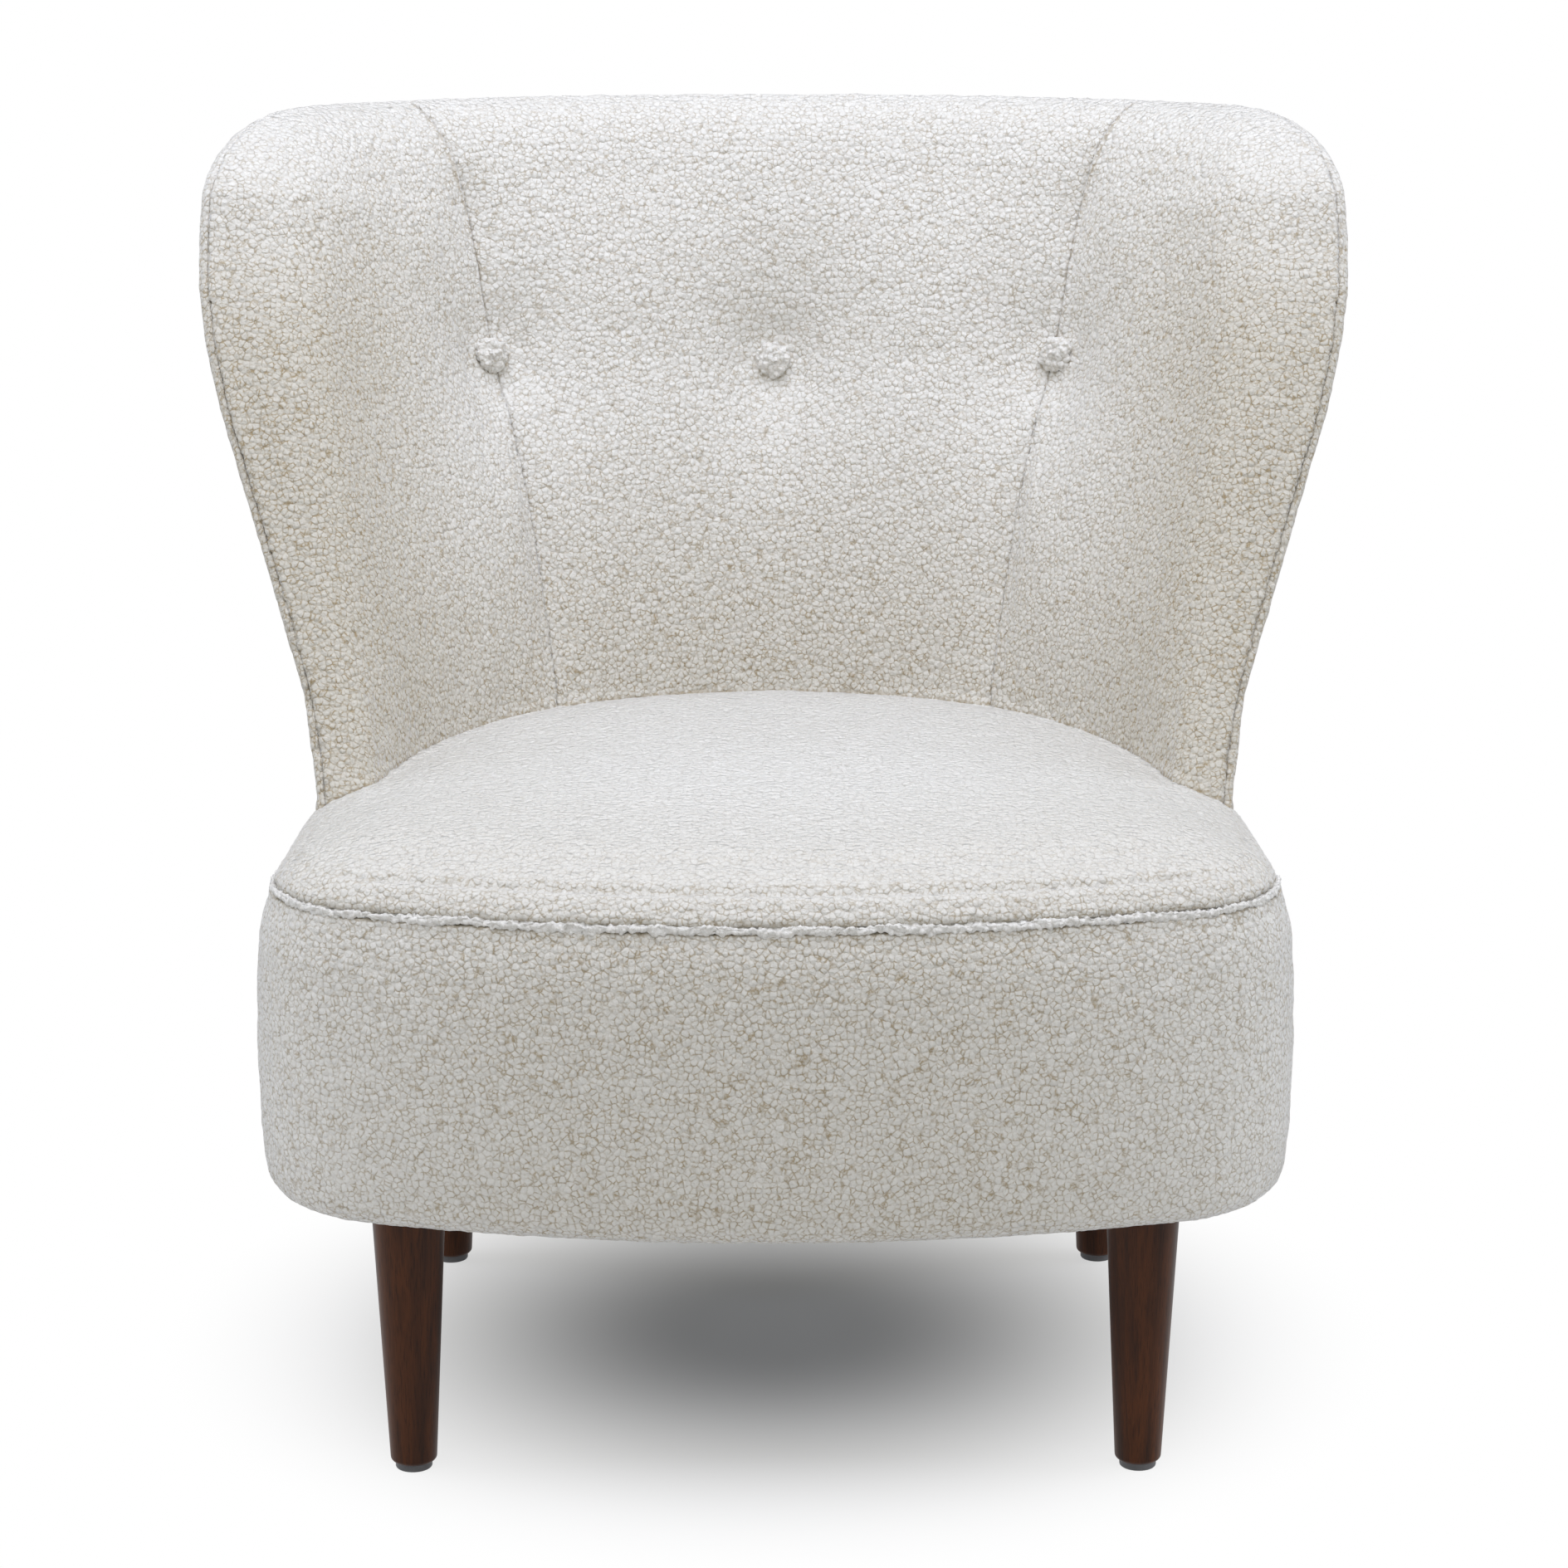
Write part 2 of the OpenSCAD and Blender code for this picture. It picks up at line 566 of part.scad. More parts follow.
cap_low_z = seam_z + flange_t / 2 + fit;
seat_foam_top = seam_z + top_roll_h - 13;
cap_wall = 15;
module seat_top_form() {
    roll_top = cap_low_z + top_roll_h;
    crown = [for (k = [0.25, 0.5, 0.75, 0.9])
        shrunk(seam_in + top_roll_w, k, roll_top + top_crown * (1 - k * k))];
    roll = [for (a = [90, 66, 45, 27, 12, 0])
        ring_at(seam_in + 1 + (top_roll_w - 1) * (1 - cos(a)), cap_low_z + top_roll_h * sin(a))];
    under = [ring_at(seam_in + cap_wall, cap_low_z), ring_at(seam_in + cap_wall + 3, seat_foam_top + fit)];
    mid_y = (front_y + rear_y) / 2;
    difference() {
        ring_cap(concat(crown, roll, under), [0, mid_y, roll_top + top_crown],
                 [0, mid_y, seat_foam_top + fit]);
        foot_slot();
    }
}

// The top cover is in two pieces: the seat itself, and a padded strip behind
// the back that starts where the wings stand at the seam.
module behind_back() {
    translate([0, 0, ring_z]) linear_extrude(crest_z - ring_z) intersection() {
        polygon(behind(function (r, s) 0, 0));
        translate([-chair_d, mix(front_y, rear_y, 0.508)]) square(2 * chair_d);
    }
}

module seat_top_panel() {
    color("ivory") difference() {
        seat_top_form();
        behind_back();
    }
}

module seat_rear_strip() {
    color("ivory") intersection() {
        seat_top_form();
        behind_back();
    }
}

seat_web_top = ring_z + 2 * web_t + 3 * fit;
module seat_foam() {
    color("khaki") difference() {
        translate([0, 0, seat_web_top]) linear_extrude(seat_foam_top - seat_web_top)
            polygon(outline(seam_in + cap_wall + 4));
        translate([0, 0, ring_z - 5]) linear_extrude(60) polygon(behind_foot(1.8));
    }
}

web_end_in = plate_in + ring_w - 22;
web_step = web_w + web_gap;
seat_mid_y = (front_y + mid_y(seat_top_z)) / 2 - 8;
module strap_set(count, turn, z) {
    translate([0, 0, z]) linear_extrude(web_t) intersection() {
        difference() {
            polygon(outline(web_end_in));
            polygon(behind_foot(4));
        }
        translate([0, seat_mid_y]) rotate(turn) for (i = [0:count - 1])
            translate([(i - (count - 1) / 2) * web_step - web_w / 2, -drum_d / 2]) square([web_w, drum_d]);
    }
}

module seat_webbing_lengthwise() {
    color("#777") strap_set(5, 0, ring_z + fit / 2);
}

module seat_webbing_crosswise() {
    color("#999") strap_set(5, 90, ring_z + web_t + fit);
}

// Plates and ribs of the back's frame, inside the cavity.
plate_clear = 3.5;
liner_t = 1.6;
strap_clear = 2.2;   // the pads lie this far before the back's straps
function frame_front(r, s) = cavity_front(r, s) - strap_clear - web_t - fit;
function frame_rear(r, s) = cavity_rear(r, s) - liner_t - plate_clear - 2;
plate_end = edge_room + 33;
function plate_outline(z) = let (
    lo = row(z), hi = row(z + ply_t), e = sheet_len(hi) - plate_end, n = 20,
    s = [for (i = [-n:n]) e * sin(90 * i / n)])
    concat([for (q = s) let (p = sheet_pt(hi, q, frame_front(hi, q))) [p[0], p[1]]],
           [for (i = [2 * n:-1:0]) let (p = sheet_pt(lo, s[i], -frame_rear(lo, s[i]))) [p[0], p[1]]]);

top_plate_z = crest_z - top_plate_drop;
bottom_plate_z = ring_z + fit / 2;
rib_low_z = bottom_plate_z + ply_t;
rib_shares = [-0.73, -0.5, -0.26, 0, 0.26, 0.5, 0.73];
rib_count = len(rib_shares);

// A rib lies in one upright plane that crosses the sheet squarely at mid height.
function rib_plane(k) = let (
    r = row(mid_plate_z), s = rib_shares[k] * row_len(r),
    o = sheet_pt(r, s, 0), q = sheet_pt(r, s, 10), d = [q[0] - o[0], q[1] - o[1]] / 10)
    [[o[0], o[1]], d];
rib_planes = [for (k = [0:rib_count - 1]) rib_plane(k)];

// Distance from the rib's own origin to the sheet at height z, within its plane.
function rib_reach(k, z) = let (
    r = row(z), o = rib_planes[k][0], d = rib_planes[k][1], side = [-d[1], d[0]],
    s0 = rib_shares[k] * row_len(r),
    hits = [for (ds = [-60:10:60]) let (p = sheet_pt(r, s0 + ds, 0), v = [p[0], p[1]] - o)
        [v * side, s0 + ds]],
    up = hits[0][0] < hits[len(hits) - 1][0],
    keyed = up ? hits : [for (i = [len(hits) - 1:-1:0]) hits[i]],
    s = lookup(0, keyed), p = sheet_pt(r, s, 0))
    [([p[0], p[1]] - o) * d, s];

rib_zs = concat([rib_low_z], [for (i = [0:7]) mix(seat_top_z, top_plate_z, i / 7)]);
tenon_h = 10;
tenon_d = 11;
function rib_span(k, z) = let (h = rib_reach(k, z), r = row(z), w = 4 * abs(rib_shares[k]))
    [h[0] - frame_rear(r, h[1]) + w, h[0] + frame_front(r, h[1]) - w];

module in_rib_plane(k) {
    o = rib_planes[k][0];
    d = rib_planes[k][1];
    multmatrix([[d[0], 0, -d[1], o[0]], [d[1], 0, d[0], o[1]], [0, 1, 0, 0], [0, 0, 0, 1]]) children();
}

// Cross-halved joint: the rib is notched from the rear, the plate from the front.
module rib_shape(k) {
    n = len(rib_zs) - 1;
    spans = [for (z = rib_zs) rib_span(k, z)];
    slot = [mid_plate_z - fit / 2, mid_plate_z + ply_t + fit / 2];
    mid = rib_span(k, mid_plate_z + ply_t / 2);
    half = (mid[0] + mid[1]) / 2;
    low = (spans[0][0] + spans[0][1]) / 2;
    high = (spans[n][0] + spans[n][1]) / 2;
    polygon(concat(
        [for (i = [0:n]) if (rib_zs[i] < slot[0]) [spans[i][0], rib_zs[i]]],
        [[rib_span(k, slot[0])[0], slot[0]], [half, slot[0]],
         [half, slot[1]], [rib_span(k, slot[1])[0], slot[1]]],
        [for (i = [0:n]) if (rib_zs[i] > slot[1]) [spans[i][0], rib_zs[i]]],
        [for (q = [[-1, 0], [-1, 1], [1, 1], [1, 0]]) [high + q[0] * tenon_d / 2, rib_zs[n] + q[1] * tenon_h]],
        [for (i = [n:-1:0]) [spans[i][1], rib_zs[i]]],
        [for (q = [[1, 0], [1, 1], [-1, 1], [-1, 0]]) [low + q[0] * tenon_d / 2, rib_zs[0] - q[1] * tenon_h]]));
}

module back_rib(k) {
    color("burlywood") in_rib_plane(k) translate([0, 0, -ply_t / 2]) linear_extrude(ply_t) rib_shape(k);
}

module rib_mortise(k, z, z0, z1) {
    span = rib_span(k, z);
    c = (span[0] + span[1]) / 2;
    in_rib_plane(k) translate([c - tenon_d / 2 - fit, z0, -ply_t / 2 - fit])
        cube([tenon_d + 2 * fit, z1 - z0, ply_t + 2 * fit]);
}

module back_bottom_plate() {
    color("burlywood") difference() {
        translate([0, 0, bottom_plate_z]) linear_extrude(ply_t) polygon(plate_outline(bottom_plate_z));
        for (k = [0:rib_count - 1])
            rib_mortise(k, rib_low_z, rib_low_z - tenon_h - fit, rib_low_z + 1);
        for (p = back_bolts_at) translate([p[0], p[1], bottom_plate_z - 1])
            cylinder(h = ply_t + 2, r = tee_barrel_r + 0.1);
    }
}

module back_middle_plate() {
    color("burlywood") difference() {
        translate([0, 0, mid_plate_z]) linear_extrude(ply_t) polygon(plate_outline(mid_plate_z));
        for (k = [0:rib_count - 1]) let (mid = rib_span(k, mid_plate_z + ply_t / 2))
            in_rib_plane(k) translate([(mid[0] + mid[1]) / 2 - fit, mid_plate_z - 1, -ply_t / 2 - fit])
                cube([60, ply_t + 2, ply_t + 2 * fit]);
    }
}

module back_top_plate() {
    color("burlywood") difference() {
        translate([0, 0, top_plate_z]) linear_extrude(ply_t) polygon(plate_outline(top_plate_z));
        for (k = [0:rib_count - 1])
            rib_mortise(k, top_plate_z, top_plate_z - 1, top_plate_z + tenon_h + fit);
    }
}

// Bolts join the back to the seat ring from below.
back_bolts_at = [for (k = [0:rib_count - 2]) let (r = row(bottom_plate_z),
    s = (rib_reach(k, rib_low_z)[1] + rib_reach(k + 1, rib_low_z)[1]) / 2,
    m = (frame_front(r, s) - frame_rear(r, s)) / 2) sheet_pt(r, s, m)];
bolt_head_h = 5;
washer_t = 1.6;

module back_bolts() {
    color("silver") for (p = back_bolts_at) translate([p[0], p[1], ring_low_z - washer_t - bolt_head_h]) {
        cylinder(h = bolt_head_h, r = bolt_d * 0.85, $fn = 6);
        translate([0, 0, bolt_head_h])
            cylinder(h = washer_t + 2 * ply_t + fit / 2 + 3, r = bolt_d / 2);
    }
}

module back_bolt_washers() {
    color("silver") for (p = back_bolts_at) translate([p[0], p[1], ring_low_z - washer_t]) difference() {
        cylinder(h = washer_t, r = bolt_d * 1.4);
        translate([0, 0, -1]) cylinder(h = washer_t + 2, r = bolt_d / 2 + 0.3);
    }
}

module back_tee_nuts() {
    color("silver") for (p = back_bolts_at) translate([p[0], p[1], 0])
        tee_nut(bottom_plate_z + 4, bottom_plate_z + ply_t);
}

// Elastic straps run across the ribs behind the pads.
back_web_zs = [for (i = [0:3]) mix(rib_low_z + 20, top_plate_z - back_web_w - 12, i / 3)];
module back_webbing() {
    color("#777") for (z = back_web_zs)
        pad([row(z), row(z + back_web_w)],
            function (r) [for (i = [-8:8]) 0.84 * row_len(row(z)) * i / 8],
            function (r, s) cavity_front(r, s) - strap_clear,
            function (r, s) cavity_front(r, s) - strap_clear - web_t);
}

module back_liner() {
    color("#8a6a45")
        pad([for (z = concat([rib_low_z + 8, seat_top_z],
            [for (q = [0.25, 0.5, 0.75, 1]) mix(seat_top_z, top_plate_z, q)])) row(z)],
            function (r) [for (i = [-9:9]) (sheet_len(r) - plate_end + 4) * i / 9],
            function (r, s) -cavity_rear(r, s) + plate_clear + liner_t - 0.5,
            function (r, s) -cavity_rear(r, s) + plate_clear - 0.5);
}

// Pads and covers of the back.
twine_r = 1;
module twine_bores() {
    for (b = button_at) on_back(b[0], b[1], 0) translate([0, 0, -40])
        cylinder(h = 110, r = twine_r + fit, $fn = 16);
}

module back_middle_pad() {
    color("ivory") difference() {
        pad(rows, function (r) mid_cols(r),
            function (r, s) front_off(r, s), function (r, s) cavity_front(r, s));
        twine_bores();
    }
}

module wing_pad(side) {
    color("ivory") difference() {
        mirror([side < 0 ? 1 : 0, 0, 0]) pad(rows, function (r) wing_cols(r),
            function (r, s) front_off(r, s), function (r, s) cavity_front(r, s));
        twine_bores();
    }
}

module back_outer_cover() {
    color("ivory") pad([for (i = [0:len(rows) - 1]) if (i < 2 || i > 11 || i % 3 == 0) rows[i]],
        function (r) all_cols(r),
        function (r, s) -cavity_rear(r, s), function (r, s) -rear_off(r, s));
}

// Frame of reference on the front of the back: +Z points out of the cover.
module on_back(s, z, lift) {
    r = row(z);
    o = sheet_pt(r, s, 0);
    q = sheet_pt(r, s, 1);
    p = sheet_pt(r, s, front_off(r, s));
    translate(p) rotate([0, 0, atan2(q[1] - o[1], q[0] - o[0])]) rotate([0, 90 - recline, 0])
        translate([0, 0, lift]) children();
}

button_lift = 1.4;
button_rise_h = 9;
button_edge = 2;
module button(side) {
    b = button_at[side + 1];
    color("ivory") on_back(b[0], b[1], button_lift) rotate_extrude() polygon(concat(
        [[0, 0]],
        [for (a = [0:30:90]) [button_r - button_edge + button_edge * sin(a), button_edge - button_edge * cos(a)]],
        [for (a = [15:15:75]) [button_r * cos(a), button_edge + (button_rise_h - button_edge) * sin(a)]],
        [[0, button_rise_h]]));
}

// A twine runs from each button through the pads to the strap behind them.
module tufting_twines() {
    color("white") for (b = button_at) let (r = row(b[1]),
        l = front_off(r, b[0]) - cavity_front(r, b[0]) + strap_clear + button_lift - 2)
        on_back(b[0], b[1], button_lift - fit / 2) translate([0, 0, -l]) cylinder(h = l, r = twine_r, $fn = 16);
}

// Left is -X, as the chair is seen from the front.

leg(0);  // leg_front_left
leg(1);  // leg_front_right
leg(2);  // leg_rear_left
leg(3);  // leg_rear_right
glide(0);  // glide_front_left
glide(1);  // glide_front_right
glide(2);  // glide_rear_left
glide(3);  // glide_rear_right
leg_hanger_bolts();
leg_tee_nuts();
dust_cover();
base_plate();
frame_posts();
seat_ring();
drum_frame_screws();
side_panel();
side_foam();
seat_band();
seam_welt();
seat_top_panel();
seat_rear_strip();
seat_foam();
seat_webbing_lengthwise();
seat_webbing_crosswise();
back_bottom_plate();
back_middle_plate();
back_top_plate();
back_rib(0);  // back_rib_1
back_rib(1);  // back_rib_2
back_rib(2);  // back_rib_3
back_rib(3);  // back_rib_4
back_rib(4);  // back_rib_5
back_rib(5);  // back_rib_6
back_rib(6);  // back_rib_7
back_bolts();
back_bolt_washers();
back_tee_nuts();
back_webbing();
back_liner();
back_middle_pad();
wing_pad(-1);  // back_left_pad
wing_pad(1);  // back_right_pad
back_outer_cover();
button(-1);  // button_left
button(0);  // button_middle
button(1);  // button_right
tufting_twines();
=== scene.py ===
import math
import bpy
import bmesh
import numpy as np
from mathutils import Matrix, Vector, noise
from mathutils.bvhtree import BVHTree


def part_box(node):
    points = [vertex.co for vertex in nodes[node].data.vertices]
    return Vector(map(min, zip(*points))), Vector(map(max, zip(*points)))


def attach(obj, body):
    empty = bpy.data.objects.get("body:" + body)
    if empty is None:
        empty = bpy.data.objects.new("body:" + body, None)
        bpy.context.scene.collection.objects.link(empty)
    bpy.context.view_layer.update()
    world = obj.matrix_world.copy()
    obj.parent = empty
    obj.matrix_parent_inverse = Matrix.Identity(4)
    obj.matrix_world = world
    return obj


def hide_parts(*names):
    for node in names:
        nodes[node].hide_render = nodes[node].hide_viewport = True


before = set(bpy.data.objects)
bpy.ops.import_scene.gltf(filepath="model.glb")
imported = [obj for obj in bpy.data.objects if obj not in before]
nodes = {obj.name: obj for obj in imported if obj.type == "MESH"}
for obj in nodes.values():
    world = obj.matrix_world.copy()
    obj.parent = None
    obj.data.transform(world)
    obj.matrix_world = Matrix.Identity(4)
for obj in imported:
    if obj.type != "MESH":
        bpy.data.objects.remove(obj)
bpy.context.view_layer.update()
BODY = "root"

# Places on the chair, in metres, as its maker would measure them.
SITTER = Vector((0.0, -0.30, 0.60))
SEAT_SEAM_Z = 0.380
RIDGE_MIDDLE_Y = -0.035
DRUM_MIDDLE = np.array([0.0, -0.03, 0.0])
OUT_OF_BACK = np.array([[0.0, -0.974, 0.225]])

BACK_PADS = ("back_left_pad", "back_middle_pad", "back_right_pad")
BUTTONS = ("button_left", "button_middle", "button_right")
SOFT = (*BACK_PADS, "back_outer_cover", "seat_top_panel",
        "seat_rear_strip", "seat_band", "seam_welt", *BUTTONS)


# Materials
NOISE = "ShaderNodeTexNoise"
VORONOI = "ShaderNodeTexVoronoi"
WAVE = "ShaderNodeTexWave"


def new_material(name):
    material = bpy.data.materials.new(name)
    material.use_nodes = True
    tree = material.node_tree
    shader = next(node for node in tree.nodes if node.type == "BSDF_PRINCIPLED")
    return material, tree, shader


def add(tree, kind, **values):
    node = tree.nodes.new(kind)
    for key, value in values.items():
        if key in node.inputs:
            node.inputs[key].default_value = value
        else:
            setattr(node, key, value)
    return node


def link(tree, out, into):
    tree.links.new(out, into)


def pattern(tree, kind, place, **values):
    """A texture that is read at place."""
    node = add(tree, kind, **values)
    link(tree, place, node.inputs["Vector"])
    return node


def ramp(tree, value, stops):
    node = tree.nodes.new("ShaderNodeValToRGB")
    band = node.color_ramp
    while len(band.elements) < len(stops):
        band.elements.new(0.5)
    for element, (place, colour) in zip(band.elements, stops):
        element.position = place
        element.color = (*colour, 1.0)
    link(tree, value, node.inputs["Fac"])
    return node.outputs["Color"]


def grey(level):
    return (level, level, level)


def tone(red, green, blue):
    """A colour as a paint chart gives it, 0 to 255, in linear light."""
    def linear(level):
        level /= 255.0
        return level / 12.92 if level <= 0.04045 else ((level + 0.055) / 1.055) ** 2.4
    return (linear(red), linear(green), linear(blue))


def math_node(tree, operation, first, second=None, third=None, clamp=False):
    node = tree.nodes.new("ShaderNodeMath")
    node.operation = operation
    node.use_clamp = clamp
    for socket, value in zip(node.inputs, (first, second, third)):
        if value is None:
            continue
        if isinstance(value, (int, float)):
            socket.default_value = value
        else:
            link(tree, value, socket)
    return node.outputs[0]


def product(tree, first, second, clamp=False):
    return math_node(tree, "MULTIPLY", first, second, clamp=clamp)


def scaled_plus(tree, value, factor, rest):
    """value times factor, plus rest."""
    return math_node(tree, "MULTIPLY_ADD", value, factor, rest)


def mixed(tree, share, first, second, blend="MIX"):
    node = tree.nodes.new("ShaderNodeMix")
    node.data_type = "RGBA"
    node.blend_type = blend
    for socket, value in ((node.inputs[0], share), (node.inputs[6], first), (node.inputs[7], second)):
        if isinstance(value, (int, float)):
            socket.default_value = value
        elif isinstance(value, tuple):
            socket.default_value = (*value, 1.0)
        else:
            link(tree, value, socket)
    return node.outputs[2]


def coloured(tree, shader, colour):
    link(tree, colour, shader.inputs["Base Color"])


def roughened(tree, shader, value, spread, least):
    """A roughness that follows a pattern, from least up to least plus spread."""
    link(tree, scaled_plus(tree, value, spread, least), shader.inputs["Roughness"])


def bumped(tree, shader, height, strength, distance):
    bump = add(tree, "ShaderNodeBump", Strength=strength, Distance=distance)
    link(tree, height, bump.inputs["Height"])
    link(tree, bump.outputs["Normal"], shader.inputs["Normal"])


def own_place(tree, scale=(1.0, 1.0, 1.0)):
    coord = tree.nodes.new("ShaderNodeTexCoord")
    mapping = tree.nodes.new("ShaderNodeMapping")
    mapping.inputs["Scale"].default_value = scale
    link(tree, coord.outputs["Object"], mapping.inputs["Vector"])
    return mapping.outputs["Vector"]


def wandering(tree, place, scale, reach):
    """The same place, pushed about a little, so that a pattern isn't too regular."""
    cloud = pattern(tree, NOISE, place, Scale=scale, Detail=2.0)
    centred = add(tree, "ShaderNodeVectorMath", operation="SUBTRACT")
    link(tree, cloud.outputs["Color"], centred.inputs[0])
    centred.inputs[1].default_value = grey(0.5)
    scaled = add(tree, "ShaderNodeVectorMath", operation="SCALE")
    link(tree, centred.outputs[0], scaled.inputs[0])
    scaled.inputs["Scale"].default_value = reach
    moved = add(tree, "ShaderNodeVectorMath", operation="ADD")
    link(tree, place, moved.inputs[0])
    link(tree, scaled.outputs[0], moved.inputs[1])
    return moved.outputs[0]


# Scales of the pile's noises; the first one shifts the nubs about, over a range of SHIFT metres.
SHIFT_SCALE = 260.0
PATCH_SCALE = 280.0
CURL_SCALE = 620.0
FIBRE_SCALE = 1600.0
SHIFT = 0.0018
# How high the curls and fibres stand beside a nub, which is 1.
CURL_HEIGHT = 0.30
FIBRE_HEIGHT = 0.10
# The pile's nap where it is painted lit, nearly white, and where it is painted shaded, cream; its tone
# also differs at random from nub to nub.
PILE_PAINTED_LIT = [(0.0, tone(237, 235, 230)), (1.0, tone(243, 242, 238))]
PILE_PAINTED_SHADED = [(0.0, tone(211, 207, 196)), (1.0, tone(218, 214, 204))]
# Tan of the backing, dark enough to stand in for the shade between the nubs and in the seams: partly its
# own colour, partly painted shade.
BACKING_AND_PAINTED_SHADE = tone(168, 151, 120)


def nub_relief(tree, far, uneven, curls, fibres):
    """The height of the pile; far runs from the middle of a nub, 0, out to its neighbours. Here and
    there neighbouring nubs run together."""
    dome = math_node(tree, "SUBTRACT", 1.0, product(tree, far, far))
    dome = product(tree, dome, scaled_plus(tree, uneven, 0.4, 0.6))
    height = scaled_plus(tree, curls, CURL_HEIGHT, dome)
    return scaled_plus(tree, fibres, FIBRE_HEIGHT, height)


def painted_crevice_shade_by_facing(tree):
    """Painted light: less of the painted crevice shade where a surface faces up, most of all on the
    seat's top, as the light from above fills it.
    """
    lie = tree.nodes.new("ShaderNodeNewGeometry")
    upward = tree.nodes.new("ShaderNodeSeparateXYZ")
    link(tree, lie.outputs["Normal"], upward.inputs[0])
    return ramp(tree, upward.outputs["Z"], [(0.30, grey(1)), (0.86, grey(0.72)), (0.99, grey(0.28))])


def backing_and_painted_shade(tree, gap, uneven, painted_shade, fold, crevice):
    """How much of the tan backing shows, with painted shade for the hollows it lies in: between the nubs,
    and in a sewn fold in a broken line, where the pile parts."""
    depth = ramp(tree, gap, [(0.09, grey(1)), (0.15, grey(0.5)), (0.25, grey(0))])
    shade = product(tree, product(tree, depth, uneven), crevice)
    # More painted crevice shade where the painted shade by place is deeper.
    shade = product(tree, shade, scaled_plus(tree, painted_shade, 0.55, 0.87))
    shade = product(tree, shade, painted_crevice_shade_by_facing(tree), clamp=True)
    # In a seam the pile parts in a broken line and the backing shows, with painted shade for the groove.
    opened = scaled_plus(tree, fold, -0.26, gap)
    parted = ramp(tree, opened, [(0.04, grey(0.8)), (0.16, grey(0))])
    parted = product(tree, parted, fold)
    parted = product(tree, parted, scaled_plus(tree, uneven, 0.6, 0.4))
    return math_node(tree, "MAXIMUM", shade, parted)


def sherpa(name, nub_size=0.0039, crevice=0.80, relief=0.0018):
    """Cream sherpa: soft round nubs of pile about 4 mm across, with tan backing between them, darkened as
    painted shade, and painted shade and light over the pile by place.
    """
    material, tree, shader = new_material(name)
    place = own_place(tree)
    pushed = wandering(tree, place, SHIFT_SCALE, SHIFT)
    cells = {"Scale": 1.0 / nub_size, "Randomness": 0.9}
    nubs = pattern(tree, VORONOI, pushed, feature="F1", **cells)
    edges = pattern(tree, VORONOI, pushed, feature="DISTANCE_TO_EDGE", **cells)
    patches = pattern(tree, NOISE, place, Scale=PATCH_SCALE, Detail=3.0).outputs["Fac"]
    curls = pattern(tree, NOISE, place, Scale=CURL_SCALE, Detail=2.0).outputs["Fac"]
    fibres = pattern(tree, NOISE, place, Scale=FIBRE_SCALE, Detail=2.0).outputs["Fac"]
    fold = add(tree, "ShaderNodeAttribute", attribute_name="fold").outputs["Fac"]
    # Painted shade by place, as each cushion notes it.
    painted_shade = add(tree, "ShaderNodeAttribute", attribute_name="painted_shade").outputs["Fac"]

    uneven = ramp(tree, patches, [(0.36, grey(0.12)), (0.60, grey(1))])
    gap = scaled_plus(tree, curls, 0.16, edges.outputs["Distance"])
    shade = backing_and_painted_shade(tree, gap, uneven, painted_shade, fold, crevice)
    flat = ramp(tree, nubs.outputs["Color"], PILE_PAINTED_LIT)
    nap_painted_shaded = ramp(tree, nubs.outputs["Color"], PILE_PAINTED_SHADED)
    # Painted shade: the nap goes from its painted-lit tone to its painted-shaded cream by place.
    nap = mixed(tree, painted_shade, flat, nap_painted_shaded)
    coloured(tree, shader, mixed(tree, shade, nap, BACKING_AND_PAINTED_SHADE))
    roughened(tree, shader, fibres, 0.12, 0.84)
    shader.inputs["Sheen Weight"].default_value = 0.8
    shader.inputs["Sheen Roughness"].default_value = 0.3
    shader.inputs["Sheen Tint"].default_value = (0.97, 0.98, 1.0, 1.0)
    shader.inputs["Specular IOR Level"].default_value = 0.1
    height = nub_relief(tree, nubs.outputs["Distance"], uneven, curls, fibres)
    bumped(tree, shader, height, 1.0, relief)
    return material


def walnut(name):
    """Dark stained walnut, turned and satin lacquered, its grain running up the leg."""
    material, tree, shader = new_material(name)
    place = own_place(tree, (1.0, 1.0, 0.07))
    pushed = wandering(tree, place, 30.0, 0.012)
    figure = pattern(tree, NOISE, pushed, Scale=95.0, Detail=6.0, Roughness=0.62)
    pores = pattern(tree, NOISE, own_place(tree, (1.0, 1.0, 0.035)), Scale=1400.0, Detail=2.0)
    broad = pattern(tree, NOISE, own_place(tree), Scale=9.0, Detail=2.0)
    grain = ramp(tree, figure.outputs["Fac"], [(0.28, tone(36, 17, 6)), (0.46, tone(64, 34, 15)),
                                               (0.58, tone(82, 45, 20)), (0.75, tone(50, 26, 11))])
    dark = ramp(tree, pores.outputs["Fac"], [(0.34, (0.45, 0.42, 0.4)), (0.46, grey(1))])
    tinted = mixed(tree, 0.75, grain, dark, "MULTIPLY")
    stain = ramp(tree, broad.outputs["Fac"], [(0.3, (0.82, 0.78, 0.76)), (0.7, (1.12, 1.08, 1.05))])
    coloured(tree, shader, mixed(tree, 1.0, tinted, stain, "MULTIPLY"))
    roughened(tree, shader, figure.outputs["Fac"], 0.16, 0.32)
    shader.inputs["Specular IOR Level"].default_value = 0.16
    shader.inputs["Coat Weight"].default_value = 0.04
    shader.inputs["Coat Roughness"].default_value = 0.3
    bumped(tree, shader, pores.outputs["Fac"], 0.18, 0.0002)
    return material


